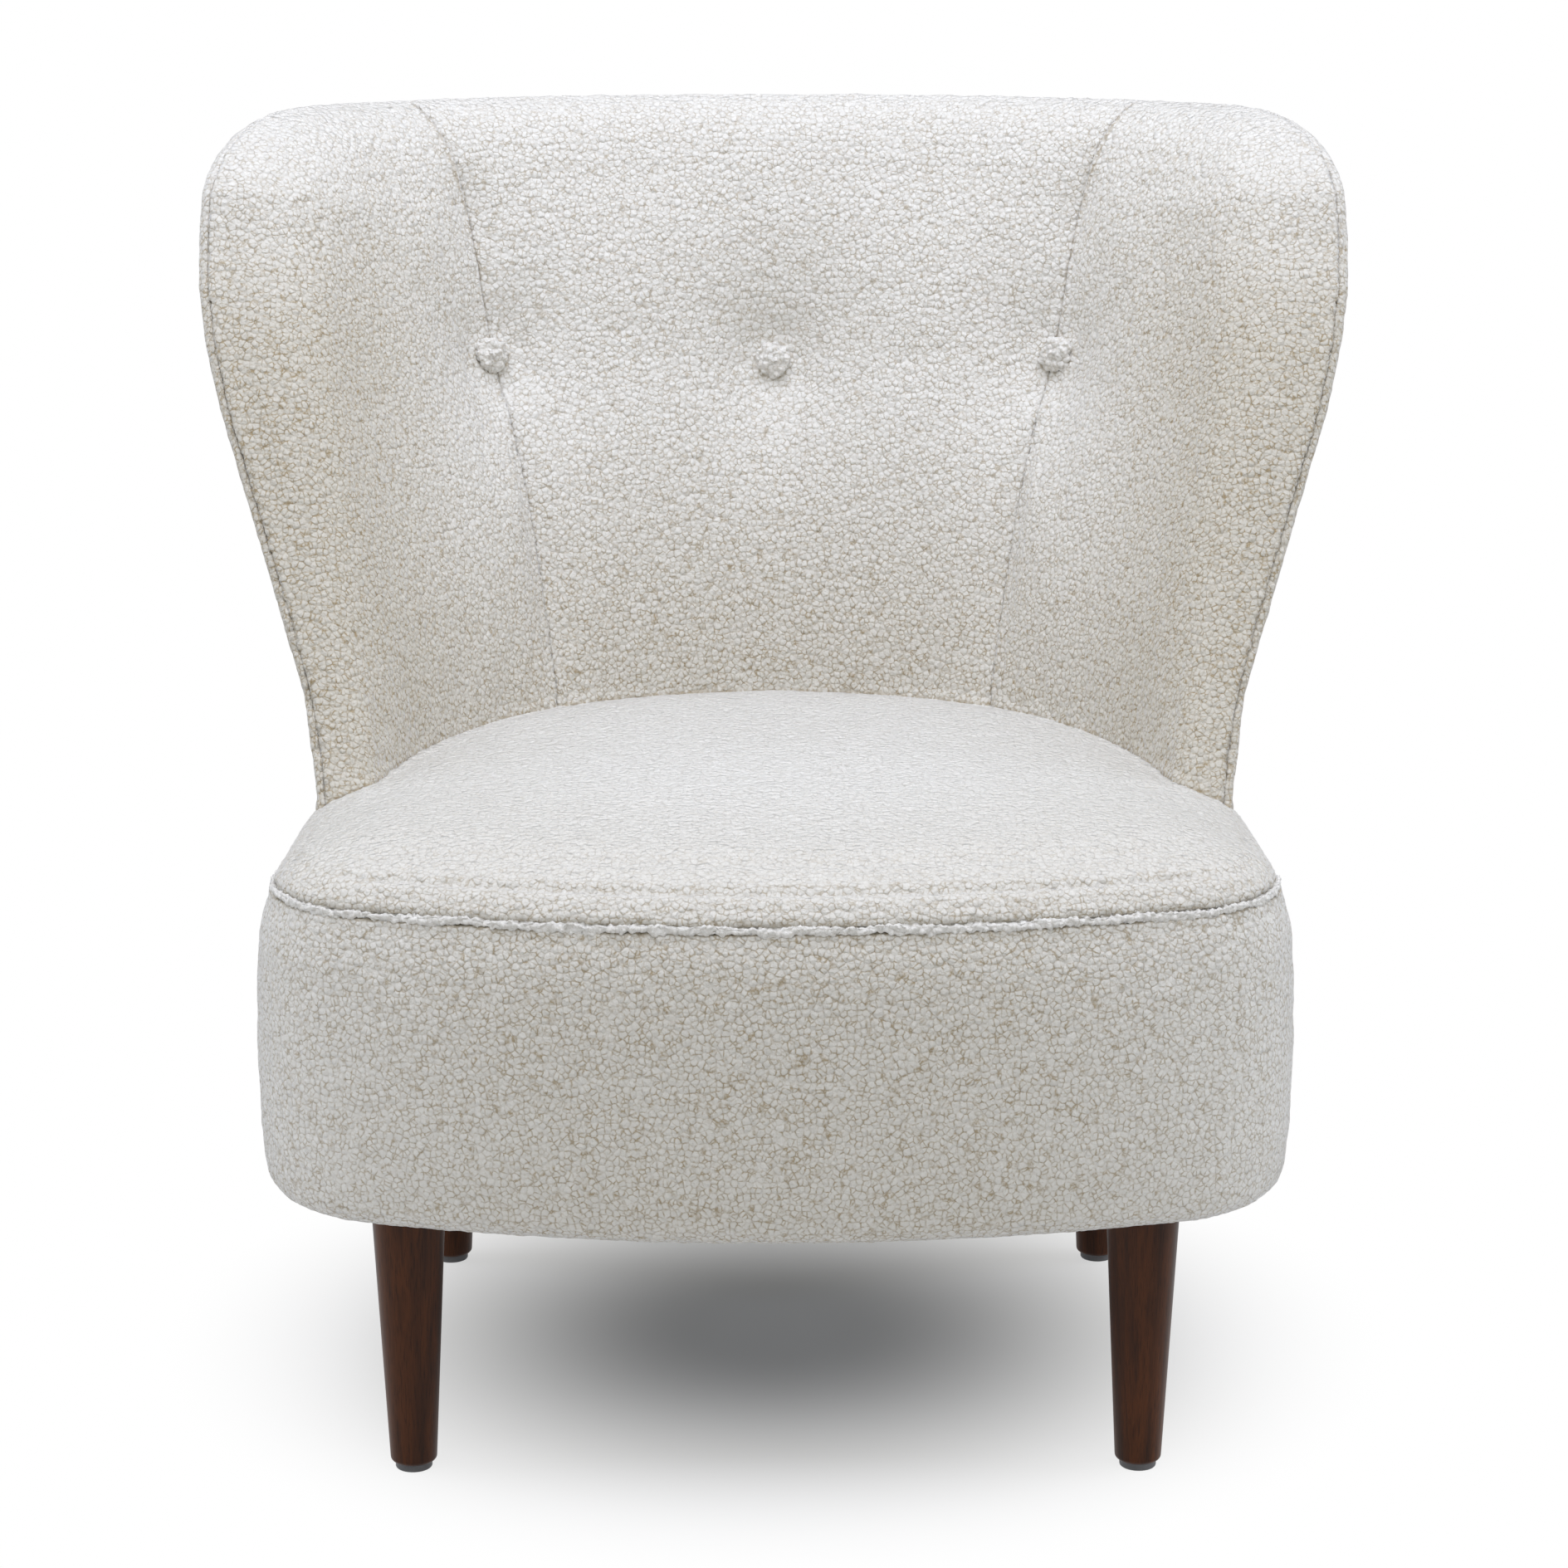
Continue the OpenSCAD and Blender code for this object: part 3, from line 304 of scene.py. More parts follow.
def glide_plastic(name):
    material, tree, shader = new_material(name)
    place = own_place(tree)
    speck = pattern(tree, NOISE, place, Scale=900.0, Detail=3.0)
    scuff = pattern(tree, NOISE, place, Scale=70.0, Detail=4.0)
    shades = [(0.3, tone(94, 94, 97)), (0.7, tone(118, 118, 121))]
    coloured(tree, shader, ramp(tree, scuff.outputs["Fac"], shades))
    roughened(tree, shader, speck.outputs["Fac"], 0.25, 0.4)
    bumped(tree, shader, speck.outputs["Fac"], 0.3, 0.0002)
    return material


def zinc_steel(name):
    material, tree, shader = new_material(name)
    spangle = pattern(tree, VORONOI, own_place(tree), feature="F1", Scale=420.0)
    brushed = pattern(tree, NOISE, own_place(tree, (1.0, 1.0, 0.1)), Scale=800.0, Detail=2.0)
    shades = [(0.0, tone(158, 160, 164)), (1.0, tone(196, 198, 202))]
    coloured(tree, shader, ramp(tree, spangle.outputs["Color"], shades))
    shader.inputs["Metallic"].default_value = 1.0
    roughened(tree, shader, brushed.outputs["Fac"], 0.25, 0.25)
    bumped(tree, shader, brushed.outputs["Fac"], 0.15, 0.0001)
    return material


def plain_timber(name, dark, light, layers=None):
    """Unfinished frame timber; layers is the scale of the ply's stripes, or None for solid wood."""
    material, tree, shader = new_material(name)
    place = wandering(tree, own_place(tree, (1.0, 0.12, 1.0)), 14.0, 0.02)
    figure = pattern(tree, NOISE, place, Scale=60.0, Detail=6.0, Roughness=0.6)
    colour = ramp(tree, figure.outputs["Fac"], [(0.3, dark), (0.7, light)])
    if layers:
        stripes = pattern(tree, WAVE, own_place(tree), wave_type="BANDS", bands_direction="Z",
                          Scale=layers, Distortion=0.6, Detail=2.0)
        band = ramp(tree, stripes.outputs["Fac"], [(0.25, (0.72, 0.62, 0.5)), (0.5, grey(1))])
        colour = mixed(tree, 0.55, colour, band, "MULTIPLY")
    coloured(tree, shader, colour)
    roughened(tree, shader, figure.outputs["Fac"], 0.2, 0.6)
    bumped(tree, shader, figure.outputs["Fac"], 0.25, 0.0004)
    return material


def hardboard(name):
    material, tree, shader = new_material(name)
    chips = pattern(tree, NOISE, own_place(tree), Scale=500.0, Detail=6.0, Roughness=0.7)
    shades = [(0.3, tone(112, 84, 56)), (0.7, tone(150, 118, 84))]
    coloured(tree, shader, ramp(tree, chips.outputs["Fac"], shades))
    roughened(tree, shader, chips.outputs["Fac"], 0.2, 0.65)
    bumped(tree, shader, chips.outputs["Fac"], 0.3, 0.0003)
    return material


def foam(name):
    material, tree, shader = new_material(name)
    place = own_place(tree)
    cells = pattern(tree, VORONOI, place, feature="F1", Scale=900.0)
    cloud = pattern(tree, NOISE, place, Scale=20.0, Detail=3.0)
    colour = ramp(tree, cloud.outputs["Fac"], [(0.3, tone(226, 214, 168)), (0.7, tone(238, 230, 196))])
    pits = ramp(tree, cells.outputs["Distance"], [(0.0, (0.7, 0.68, 0.62)), (0.5, grey(1))])
    coloured(tree, shader, mixed(tree, 0.7, colour, pits, "MULTIPLY"))
    roughened(tree, shader, cloud.outputs["Fac"], 0.1, 0.85)
    bumped(tree, shader, cells.outputs["Distance"], 0.6, 0.0006)
    return material


# These turn a pitch in metres into a wave texture's scale, for threads about 0.64 of it apart.
FULL_TURN = 6.283
THREAD_RATE = 3.1


def woven(name, dark, light, pitch):
    """A plain weave: two sets of threads that pass over and under each other."""
    material, tree, shader = new_material(name)
    place = own_place(tree)
    scale = 1.0 / pitch / FULL_TURN * THREAD_RATE
    warp, weft = (pattern(tree, WAVE, place, wave_type="BANDS", bands_direction=way, Scale=scale)
                  for way in "XY")
    fuzz = pattern(tree, NOISE, place, Scale=1200.0, Detail=3.0)
    cross = product(tree, warp.outputs["Fac"], weft.outputs["Fac"])
    cross = scaled_plus(tree, fuzz.outputs["Fac"], 0.4, cross)
    coloured(tree, shader, ramp(tree, cross, [(0.2, dark), (0.9, light)]))
    roughened(tree, shader, fuzz.outputs["Fac"], 0.15, 0.75)
    bumped(tree, shader, cross, 0.5, 0.0005)
    return material


SHERPA = sherpa("cream_sherpa")
SEAM_SHERPA = sherpa("cream_sherpa_folded", nub_size=0.0036, crevice=0.28, relief=0.0016)
BUTTON_SHERPA = sherpa("cream_sherpa_gathered", nub_size=0.0040, crevice=0.55, relief=0.0018)
WALNUT = walnut("walnut_satin")
GLIDE = glide_plastic("grey_glide_plastic")
STEEL = zinc_steel("zinc_plated_steel")
PLY = plain_timber("birch_ply", tone(196, 160, 112), tone(224, 194, 148), layers=70.0)
BEECH = plain_timber("beech_rail", tone(190, 142, 96), tone(214, 172, 126))
HARDBOARD = hardboard("brown_hardboard")
FOAM = foam("seat_foam_cream")
WEBBING = woven("elastic_webbing", tone(62, 58, 54), tone(128, 118, 104), 0.0022)
CAMBRIC = woven("black_cambric", tone(16, 16, 17), tone(44, 44, 46), 0.0011)
TWINE = woven("waxed_twine", tone(150, 138, 112), tone(206, 196, 172), 0.0008)

# What a node's name begins with, and its material; the rest is sherpa.
FINISH = {
    "leg_front": WALNUT, "leg_rear": WALNUT, "glide_": GLIDE,
    "leg_hanger_bolts": STEEL, "leg_tee_nuts": STEEL, "drum_frame_screws": STEEL,
    "back_bolts": STEEL, "back_bolt_washers": STEEL, "back_tee_nuts": STEEL,
    "base_plate": PLY, "frame_posts": BEECH, "seat_ring": PLY, "back_rib_": PLY,
    "back_bottom_plate": PLY, "back_middle_plate": PLY, "back_top_plate": PLY,
    "side_panel": HARDBOARD, "back_liner": HARDBOARD, "dust_cover": CAMBRIC,
    "seat_webbing_": WEBBING, "back_webbing": WEBBING, "tufting_twines": TWINE,
    "side_foam": FOAM, "seat_foam": FOAM,
}
for node_name, node in nodes.items():
    finish = next((material for start, material in FINISH.items() if node_name.startswith(start)), SHERPA)
    node.data.materials.clear()
    node.data.materials.append(finish)


# Meshes
def only(piece):
    """Makes piece the only selected and active object."""
    bpy.ops.object.select_all(action="DESELECT")
    piece.select_set(True)
    bpy.context.view_layer.objects.active = piece


def apply_all(piece):
    only(piece)
    for modifier in list(piece.modifiers):
        bpy.ops.object.modifier_apply(modifier=modifier.name)


def per_point(piece, what):
    flat = np.empty(len(piece.data.vertices) * 3, np.float64)
    piece.data.vertices.foreach_get(what, flat)
    return flat.reshape(-1, 3)


def places(piece):
    return per_point(piece, "co")


def normals(piece):
    return per_point(piece, "normal")


def put(piece, points):
    piece.data.vertices.foreach_set("co", points.astype(np.float32).ravel())
    piece.data.update()


def note(piece, name, values):
    """Keeps a number per point, for a material or a later step to read."""
    piece.data.attributes.new(name, "FLOAT", "POINT").data.foreach_set("value", values)


def between(values, span):
    """0 up to where the span starts, then evenly up to 1 over its width."""
    start, width = span
    return np.clip((values - start) / width, 0.0, 1.0)


def ease(share):
    """The same share, but level at 0 and at 1."""
    return share * share * (3.0 - 2.0 * share)


def soften(piece, values, rounds=3):
    """Evens out a number per point over its neighbours, so that no single point stands out."""
    pairs = np.empty(len(piece.data.edges) * 2, np.int64)
    piece.data.edges.foreach_get("vertices", pairs)
    first, second = pairs.reshape(-1, 2).T
    count = np.bincount(pairs, minlength=len(values))
    for _ in range(rounds):
        total = (np.bincount(first, weights=values[second], minlength=len(values))
                 + np.bincount(second, weights=values[first], minlength=len(values)))
        values = 0.5 * values + 0.5 * total / np.maximum(count, 1)
    return values


def skin_of(names):
    """The joined skins of some CAD solids, to find what lies near them."""
    shell = bmesh.new()
    for name in names:
        shell.from_mesh(nodes[name].data)
    skin = BVHTree.FromBMesh(shell)
    shell.free()
    return skin


def neighbours(*left_out):
    """The skins of the other soft solids, to find where a cushion meets them."""
    return skin_of(name for name in SOFT if name not in left_out)


def away_from(piece, found, reach):
    """How far each point is from some CAD solids, 0 at their skin to 1 at reach."""
    skin = skin_of(found)
    share = np.ones(len(piece.data.vertices))
    for index, point in enumerate(places(piece)):
        away = skin.find_nearest(point, reach)[3]
        if away is not None:
            share[index] = away / reach
    return ease(share)


# Upholstery
WELDED = 1e-5
RUB = 0.5
CLOTH_FRAMES = 10
CLOTH_QUALITY = 3
CLOTH_MASS = 0.25
CLOTH_STRETCH = 12.0
CLOTH_SHEAR = 6.0
CLOTH_BENDING = 0.6
CLOTH_PRESSURE = 4.0
FULLY_FREE = 0.999
NO_LENGTH = 1e-9


def pad_from(name, source, voxel, smooth):
    """A cushion begun from the solid that the frame holds in its place."""
    mesh = nodes[source].data.copy()
    mesh.name = name
    piece = bpy.data.objects.new(name, mesh)
    bpy.context.scene.collection.objects.link(piece)
    shell = bmesh.new()
    shell.from_mesh(mesh)
    bmesh.ops.remove_doubles(shell, verts=shell.verts, dist=WELDED)
    bmesh.ops.recalc_face_normals(shell, faces=shell.faces)
    shell.to_mesh(mesh)
    skin = BVHTree.FromBMesh(shell)
    shell.free()
    grain = piece.modifiers.new("even", "REMESH")
    grain.mode = "VOXEL"
    grain.voxel_size = voxel
    rub = piece.modifiers.new("rub", "SMOOTH")
    rub.factor = RUB
    rub.iterations = smooth
    apply_all(piece)
    fill_corners(piece, skin)
    return piece, skin


def fill_corners(piece, skin, slack=0.0005):
    """Rubbing down the facets wears the edges too; this pushes them out again to the skin."""
    points, out = places(piece), normals(piece)
    for index, point in enumerate(points):
        near, face, _, _ = skin.find_nearest(point)
        gap = (near - Vector(point)).dot(face)
        if gap > slack:
            points[index] = point + out[index] * (gap - slack)
    put(piece, points)


def cloth_on(piece, held):
    """A light cover under pressure; held is the group of points that the frame keeps in place."""
    cloth = piece.modifiers.new("cover", "CLOTH")
    settings = cloth.settings
    settings.vertex_group_mass = held.name
    settings.quality = CLOTH_QUALITY
    settings.mass = CLOTH_MASS
    settings.tension_stiffness = CLOTH_STRETCH
    settings.compression_stiffness = CLOTH_STRETCH
    settings.shear_stiffness = CLOTH_SHEAR
    settings.bending_stiffness = CLOTH_BENDING
    settings.use_pressure = True
    settings.uniform_pressure_force = CLOTH_PRESSURE
    settings.effector_weights.gravity = 0.0
    cloth.collision_settings.use_self_collision = False
    cloth.point_cache.frame_start = 1
    cloth.point_cache.frame_end = CLOTH_FRAMES


def swell(piece, free, cap):
    """Fills the cover by cloth pressure, by cap at most; free says how far each point may move,
    0 to 1."""
    start = places(piece)
    held = piece.vertex_groups.new(name="held")
    for index in np.nonzero(free < FULLY_FREE)[0]:
        held.add([int(index)], float(1.0 - free[index]), "REPLACE")
    cloth_on(piece, held)
    scene = bpy.context.scene
    for step in range(1, CLOTH_FRAMES + 1):
        scene.frame_set(step)
    apply_all(piece)
    scene.frame_set(1)
    moved = places(piece) - start
    length = np.linalg.norm(moved, axis=1, keepdims=True)
    limit = cap * np.tanh(length / cap)
    put(piece, start + moved * (limit / np.maximum(length, NO_LENGTH)))
    piece.vertex_groups.clear()


# From where a point looks enough toward the sitter, the ceiling or the outside to swell freely, as
# the cosine at which that begins and the range over which it grows.
FACING = (0.15, 0.35)
UPWARD = (0.2, 0.4)
OUTWARD = (0.3, 0.4)
BUTTON_HOLD = 0.026


def looks_along(out, way):
    return np.einsum("ij,ij->i", out, way)


def freedom(piece, source, toward, upward):
    """How far the cloth may carry each point, 0 to 1: the side that faces the sitter, the top, or
    the outside swells, and the rest is held."""
    points, out = places(piece), normals(piece)
    if toward is not None:
        way = np.array(toward) - points
        way /= np.linalg.norm(way, axis=1, keepdims=True)
        free = between(looks_along(out, way), FACING)
    elif upward:
        free = between(out[:, 2], UPWARD)
    else:
        way = points * np.array([1.0, 1.0, 0.0]) - DRUM_MIDDLE
        way /= np.maximum(np.linalg.norm(way, axis=1, keepdims=True), 1e-6)
        free = between(looks_along(out, way), OUTWARD)
    if source in BACK_PADS:
        # The twines hold the cover down round the buttons.
        free = free * away_from(piece, BUTTONS, BUTTON_HOLD)
    return free


def finer(piece):
    grow = piece.modifiers.new("finer", "SUBSURF")
    grow.levels = 1
    grow.render_levels = 1
    apply_all(piece)


# How squarely a point has to look at its neighbour to be moved at all, and until it is moved fully.
SQUARE = (0.1, 0.4)


def meet(piece, others, fluffed, near=0.0035, half_gap=0.0001, most=0.002):
    """Closes the hairline between two sewn pieces: each comes out to the middle of the gap. Beside
    the solids that fluffed names the pile stands up and fills the groove."""
    points, out = places(piece), normals(piece)
    start, width = SQUARE
    push = np.zeros(len(points))
    for name, stand, reach in fluffed:
        push = np.maximum(push, stand * (1.0 - away_from(piece, (name,), reach)))
    for index, point in enumerate(points):
        place, _, _, away = others.find_nearest(point, near)
        if place is None or away <= half_gap:
            continue
        straight = (place - Vector(point)).dot(out[index]) / away
        if straight > start:
            push[index] = min(away - half_gap, most) * min((straight - start) / width, 1.0)
    put(piece, points + out * soften(piece, push)[:, None])


def pile(piece, height, size):
    """The lumpy pile itself, as relief on the finished cushion."""
    for label, scale, strength in (("lumps", size * 2.4, height * 0.8), ("nubs", size, height)):
        texture = bpy.data.textures.new(piece.name + "_" + label, "CLOUDS")
        texture.noise_scale = scale
        texture.noise_depth = 1
        texture.noise_basis = "BLENDER_ORIGINAL"
        relief = piece.modifiers.new(label, "DISPLACE")
        relief.texture = texture
        relief.texture_coords = "LOCAL"
        relief.strength = strength
        relief.mid_level = 0.5
    apply_all(piece)


def mark_folds(piece, others, near=0.0036):
    """Notes how near each point is to a seam, 0 to 1, for the fabric to show its backing there, with
    painted shade for the groove. The seam ridge has noted this itself."""
    backing = piece.data.attributes.get("backing")
    fold = np.zeros(len(piece.data.vertices), np.float32)
    if backing:
        backing.data.foreach_get("value", fold)
    else:
        for index, point in enumerate(places(piece)):
            away = others.find_nearest(point, near)[3]
            if away is not None:
                fold[index] = 1.0 - away / near
        fold = ease(fold)
    note(piece, "fold", fold)


# Where the painted shade begins to change, and over what distance, in metres.
LOW_BACK = (0.42, 0.20)
WING_INSIDE = (0.19, 0.12)
WING_TOP = (0.64, 0.18)
BAND_SIDE = (0.10, 0.23)
SEAT_MIDDLE = (0.08, 0.26)


def past(values, span):
    return ease(between(values, span))


def paint_shade_by_place(piece, source):
    """Painted shade on the pile, 0 to 1: none high on the back and on the seat's middle, which are
    painted lit; some on the seat's edge, more on the band's front and low on the back, and most low down
    inside the wings."""
    across, along, up = places(piece).T
    across = np.abs(across)
    if source in BACK_PADS or source == "back_outer_cover":
        low = 1.0 - past(up, LOW_BACK)
        wing = past(across, WING_INSIDE) * (1.0 - past(up, WING_TOP))
        share = 0.6 * low + 1.1 * wing
    elif source == "seat_band":
        share = 0.5 - 0.4 * past(across, BAND_SIDE)
    elif source == "seat_top_panel":
        share = 0.36 * past(np.hypot(across, along), SEAT_MIDDLE)
    else:
        share = np.zeros(len(up))
    note(piece, "painted_shade", np.minimum(share, 1.0).astype(np.float32))


# Where these meet the back's pads, the pile hides the stitches.
PLAIN_EDGES = ("back_outer_cover",)


def cushion(name, source, also=(), voxel=0.005, smooth=10, cap=0.004, toward=None,
            upward=False, shape=None, finish=SHERPA, lumps=0.0009, lump_size=0.0062,
            fluffed=()):
    """A soft piece that stands for the solid source: its mesh, its filling, seams, pile and looks."""
    piece, skin = pad_from(name, source, voxel, smooth)
    swell(piece, freedom(piece, source, toward, upward), cap)
    finer(piece)
    fill_corners(piece, skin, slack=0.0006)
    meet(piece, neighbours(source), fluffed)
    if shape:
        shape(piece)
    pile(piece, lumps, lump_size)
    plain = BACK_PADS if source in PLAIN_EDGES else PLAIN_EDGES
    mark_folds(piece, neighbours(source, *plain))
    paint_shade_by_place(piece, source)
    piece.data.materials.clear()
    piece.data.materials.append(finish)
    for face in piece.data.polygons:
        face.use_smooth = True
    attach(piece, BODY)
    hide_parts(source, *also)
    return piece


# How far from a nub's middle its relief passes through the skin, as a share of its size.
NUB_EDGE = 0.42


def stand_nubs(piece, size, height):
    """Nubs of pile as real relief, for the small pieces whose mesh is fine enough to hold them."""
    points, out = places(piece), normals(piece)
    far = np.array([noise.voronoi(Vector(point) / size)[0][0] for point in points])
    put(piece, points + out * (height * (NUB_EDGE - far))[:, None])


def waves(angle, parts, level=0.0):
    """A level with some waves on it: how many turns each makes, its start and its height."""
    for turns, start, height in parts:
        level = level + height * np.sin(angle * turns + start)
    return level


RIDGE_SLICES = 720
RIDGE_WAVES = ((17.0, 0.0, 1.0), (41.0, 1.3, 0.7), (73.0, 0.4, 0.5))
WAVES_TOGETHER = 2.2
WAVE_HEIGHT = 0.0011
# The roll's thickness as a share of the CAD solid's, and how it comes and goes.
RIDGE_THICK = 1.25
RIDGE_SWELLS = ((29.0, 2.1, 0.16), (97.0, 0.0, 0.12))
# How far inside the roll's middle the seam allowance begins, over what depth it takes over, and how
# much it spreads to close the groove.
ALLOWANCE = (0.0004, 0.0014)
ALLOWANCE_SPREAD = 1.9
# The roll stands out in front and is drawn in at the sides, in metres.
RIDGE_OUT = 0.0007
RIDGE_IN = 0.0030
RIDGE_NUB = 0.0036
RIDGE_NUB_HEIGHT = 0.0033


def ridge(piece):
    """The sewn ridge round the seat: a soft, wavy roll, with the seam allowance closing the
    groove above and below it."""
    points = places(piece)
    angle = np.arctan2(points[:, 1] - RIDGE_MIDDLE_Y, points[:, 0])
    reach = np.hypot(points[:, 0], points[:, 1] - RIDGE_MIDDLE_Y)
    piece_of_turn = (angle + np.pi) / (2.0 * np.pi) * RIDGE_SLICES
    slice_of = piece_of_turn.astype(int) % RIDGE_SLICES
    total = np.bincount(slice_of, weights=reach, minlength=RIDGE_SLICES)
    count = np.maximum(np.bincount(slice_of, minlength=RIDGE_SLICES), 1)
    off = reach - (total / count)[slice_of]
    rise = points[:, 2] - SEAT_SEAM_Z
    wave = waves(angle, RIDGE_WAVES) / WAVES_TOGETHER
    sideways = np.cos(angle) ** 6
    thick = waves(angle, RIDGE_SWELLS, RIDGE_THICK) * (1.0 - 0.4 * sideways)
    behind = past(-off, ALLOWANCE)
    rise = rise * (thick + behind * ALLOWANCE_SPREAD) + wave * WAVE_HEIGHT * (1.0 - behind)
    push = (RIDGE_OUT * thick - RIDGE_IN * sideways) * (1.0 - behind)
    points[:, 2] = SEAT_SEAM_Z + rise
    points[:, 0] += np.cos(angle) * push
    points[:, 1] += np.sin(angle) * push
    put(piece, points)
    stand_nubs(piece, RIDGE_NUB, RIDGE_NUB_HEIGHT * (1.0 - behind) * (1.0 - 0.5 * sideways))
    # The seam allowance shows the tan backing, with painted shade for the groove above and below the
    # roll.
    note(piece, "backing", behind.astype(np.float32))


# Where the back is fullest, over what height that changes, and how full it gets, in metres.
FULLEST_Z = 0.540
CROWN_RISE = 0.190
CROWN = 0.0095
LEAST_FULL = -1.2
# From how far off the outer cover and the liner a pad is fully free to move, in metres.
COVER_HOLD = 0.07
LINER_HOLD = 0.012
# Each button's number of folds, and where the first one starts, in radians.
BUTTON_FOLDS = (("button_left", 7, 0.3), ("button_middle", 8, 1.1), ("button_right", 7, 2.0))
# The folds' depth, how far from the button's middle they are deepest, how wide that ring is, and
# where they begin.
FOLD_DEPTH = 0.0007
FOLD_RING = 0.014
FOLD_RING_WIDTH = 0.024
FOLD_START = (0.010, 0.006)
# How far round it a button holds the cover down, and how firmly.
HOLD_RADIUS = 0.030
HOLD_SHARE = 0.8


def back_pad(piece):
    """The back is fullest at the small of the sitter's back and lies away towards the top, and
    short folds run out from each button, where the twine draws the cover in."""
    points = places(piece)
    room = away_from(piece, ("back_outer_cover",), COVER_HOLD)
    room = room * away_from(piece, ("back_liner",), LINER_HOLD)
    climb = (points[:, 2] - FULLEST_Z) / CROWN_RISE
    full = np.where(climb < 0.0, 1.0 - 0.8 * climb * climb, 1.0 - 1.25 * climb * climb)
    push = np.maximum(full, LEAST_FULL) * CROWN * room
    for label, folds, start in BUTTON_FOLDS:
        low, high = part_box(label)
        way = points - (np.array(low) + np.array(high)) / 2.0
        reach = np.linalg.norm(way, axis=1)
        turn = np.arctan2(way[:, 2], way[:, 0])
        deep = np.exp(-((reach - FOLD_RING) / FOLD_RING_WIDTH) ** 2) * between(reach, FOLD_START)
        bends = np.cos(turn * folds + start + 1.2 * np.sin(turn * 2.0 + start))
        push += deep * bends * FOLD_DEPTH * room
        # The cover stays down where a button holds it.
        push -= push * np.exp(-(reach / HOLD_RADIUS) ** 2) * HOLD_SHARE
    put(piece, points + push[:, None] * OUT_OF_BACK)


BUTTON_LIFT = 0.0018
BUTTON_LUMP = 0.0005
BUTTON_NUB = 0.0052
BUTTON_NUB_HEIGHT = 0.0046


def lumpy(piece):
    """A covered button is gathered by hand, so its pile stands in a few big lumps."""
    points, out = places(piece), normals(piece)
    middle = points.mean(axis=0)
    way = points - middle
    turn = np.arctan2(way[:, 2], way[:, 0])
    reach = np.hypot(way[:, 0], way[:, 2])
    lumps = np.cos(turn * 5.0 + reach * 260.0) * np.cos(reach * 420.0 + turn)
    # It sits on top of the pile, not in it.
    put(piece, points + out * (lumps * BUTTON_LUMP)[:, None] + OUT_OF_BACK * BUTTON_LIFT)
    stand_nubs(piece, BUTTON_NUB, BUTTON_NUB_HEIGHT)


# Beside each neighbour, how high the pile stands and how far from the seam it begins to rise.
BEHIND = ("back_outer_cover", 0.0028, 0.012)
OVER_RIDGE = ("seam_welt", 0.0011, 0.006)
STITCHED = (0.0011, 0.005)
AT_PADS = (0.0004, 0.006)


def beside(*pads, stand=STITCHED):
    return tuple((pad, *stand) for pad in pads)


LEFT_PAD, MIDDLE_PAD, RIGHT_PAD = BACK_PADS
for name, source, stitched in (("back_left_cushion", LEFT_PAD, beside(MIDDLE_PAD)),
                               ("back_middle_cushion", MIDDLE_PAD, beside(LEFT_PAD, RIGHT_PAD)),
                               ("back_right_cushion", RIGHT_PAD, beside(MIDDLE_PAD))):
    cushion(name, source, toward=SITTER, shape=back_pad, fluffed=(BEHIND, *stitched))
cushion("back_outer_fabric", "back_outer_cover", cap=0.003,
        fluffed=beside(*BACK_PADS, stand=AT_PADS))
cushion("seat_top_cushion", "seat_top_panel", also=("seat_foam",), upward=True,
        fluffed=(OVER_RIDGE,))
cushion("seat_rear_fabric", "seat_rear_strip", upward=True, cap=0.002)
cushion("seat_side_fabric", "seat_band", also=("side_foam",), cap=0.003,
        fluffed=(OVER_RIDGE,))
cushion("seat_seam_ridge", "seam_welt", voxel=0.002, smooth=3, cap=0.001,
        finish=SEAM_SHERPA, shape=ridge, lumps=0.0005, lump_size=0.0022)
for button in BUTTONS:
    cushion(button + "_covered", button, voxel=0.0012, smooth=3, cap=0.001,
            toward=SITTER, finish=BUTTON_SHERPA, shape=lumpy, lumps=0.0004, lump_size=0.0022)


# Studio
FLOOR_SIDE = 24.0
FLOOR_PAINT = (0.83, 0.83, 0.825, 1.0)
ROOM_COLOUR = (1.0, 0.975, 0.865, 1.0)
ROOM_STRENGTH = 0.365
WHITE = (1.0, 1.0, 1.0, 1.0)
# How far from the chair's middle the floor begins to fade, and where it is all white.
SWEEP = (0.05, 0.43)
AIM = (0.0, 0.0, 0.4)
# Each softbox: name, place, size, watts and colour.
SOFTBOXES = (
    ("overhead_softbox", (0.0, -0.75, 2.8), (2.6, 2.2), 59.5, (0.845, 0.875, 1.0)),
    ("rear_softbox", (0.0, 0.45, 2.7), (2.6, 1.2), 5.0, (0.85, 0.88, 1.0)),
    ("left_softbox", (-2.3, 0.1, 0.9), (1.4, 1.2), 10.5, (0.82, 0.87, 1.0)),
    ("right_softbox", (2.3, 0.1, 0.9), (1.4, 1.2), 12.5, (0.82, 0.87, 1.0)),
)
# The camera as solved from the photograph, in metres, degrees and millimetres; its tilt counts from
# looking straight down.
CAMERA_PLACE = (-0.0073, -2.5995, 1.0003)
CAMERA_TILT = 76.7
CAMERA_TURN = -0.3
CAMERA_LENS = 91.48
CAMERA_SENSOR = 36.0
CAMERA_NEAREST = 0.05


def seen_directly(tree):
    """1 for rays from the camera and for those that a shiny or clear surface sends on, else 0."""
    rays = tree.nodes.new("ShaderNodeLightPath")
    seen = math_node(tree, "MAXIMUM", rays.outputs["Is Camera Ray"], rays.outputs["Is Glossy Ray"])
    return math_node(tree, "MAXIMUM", seen, rays.outputs["Is Transmission Ray"])


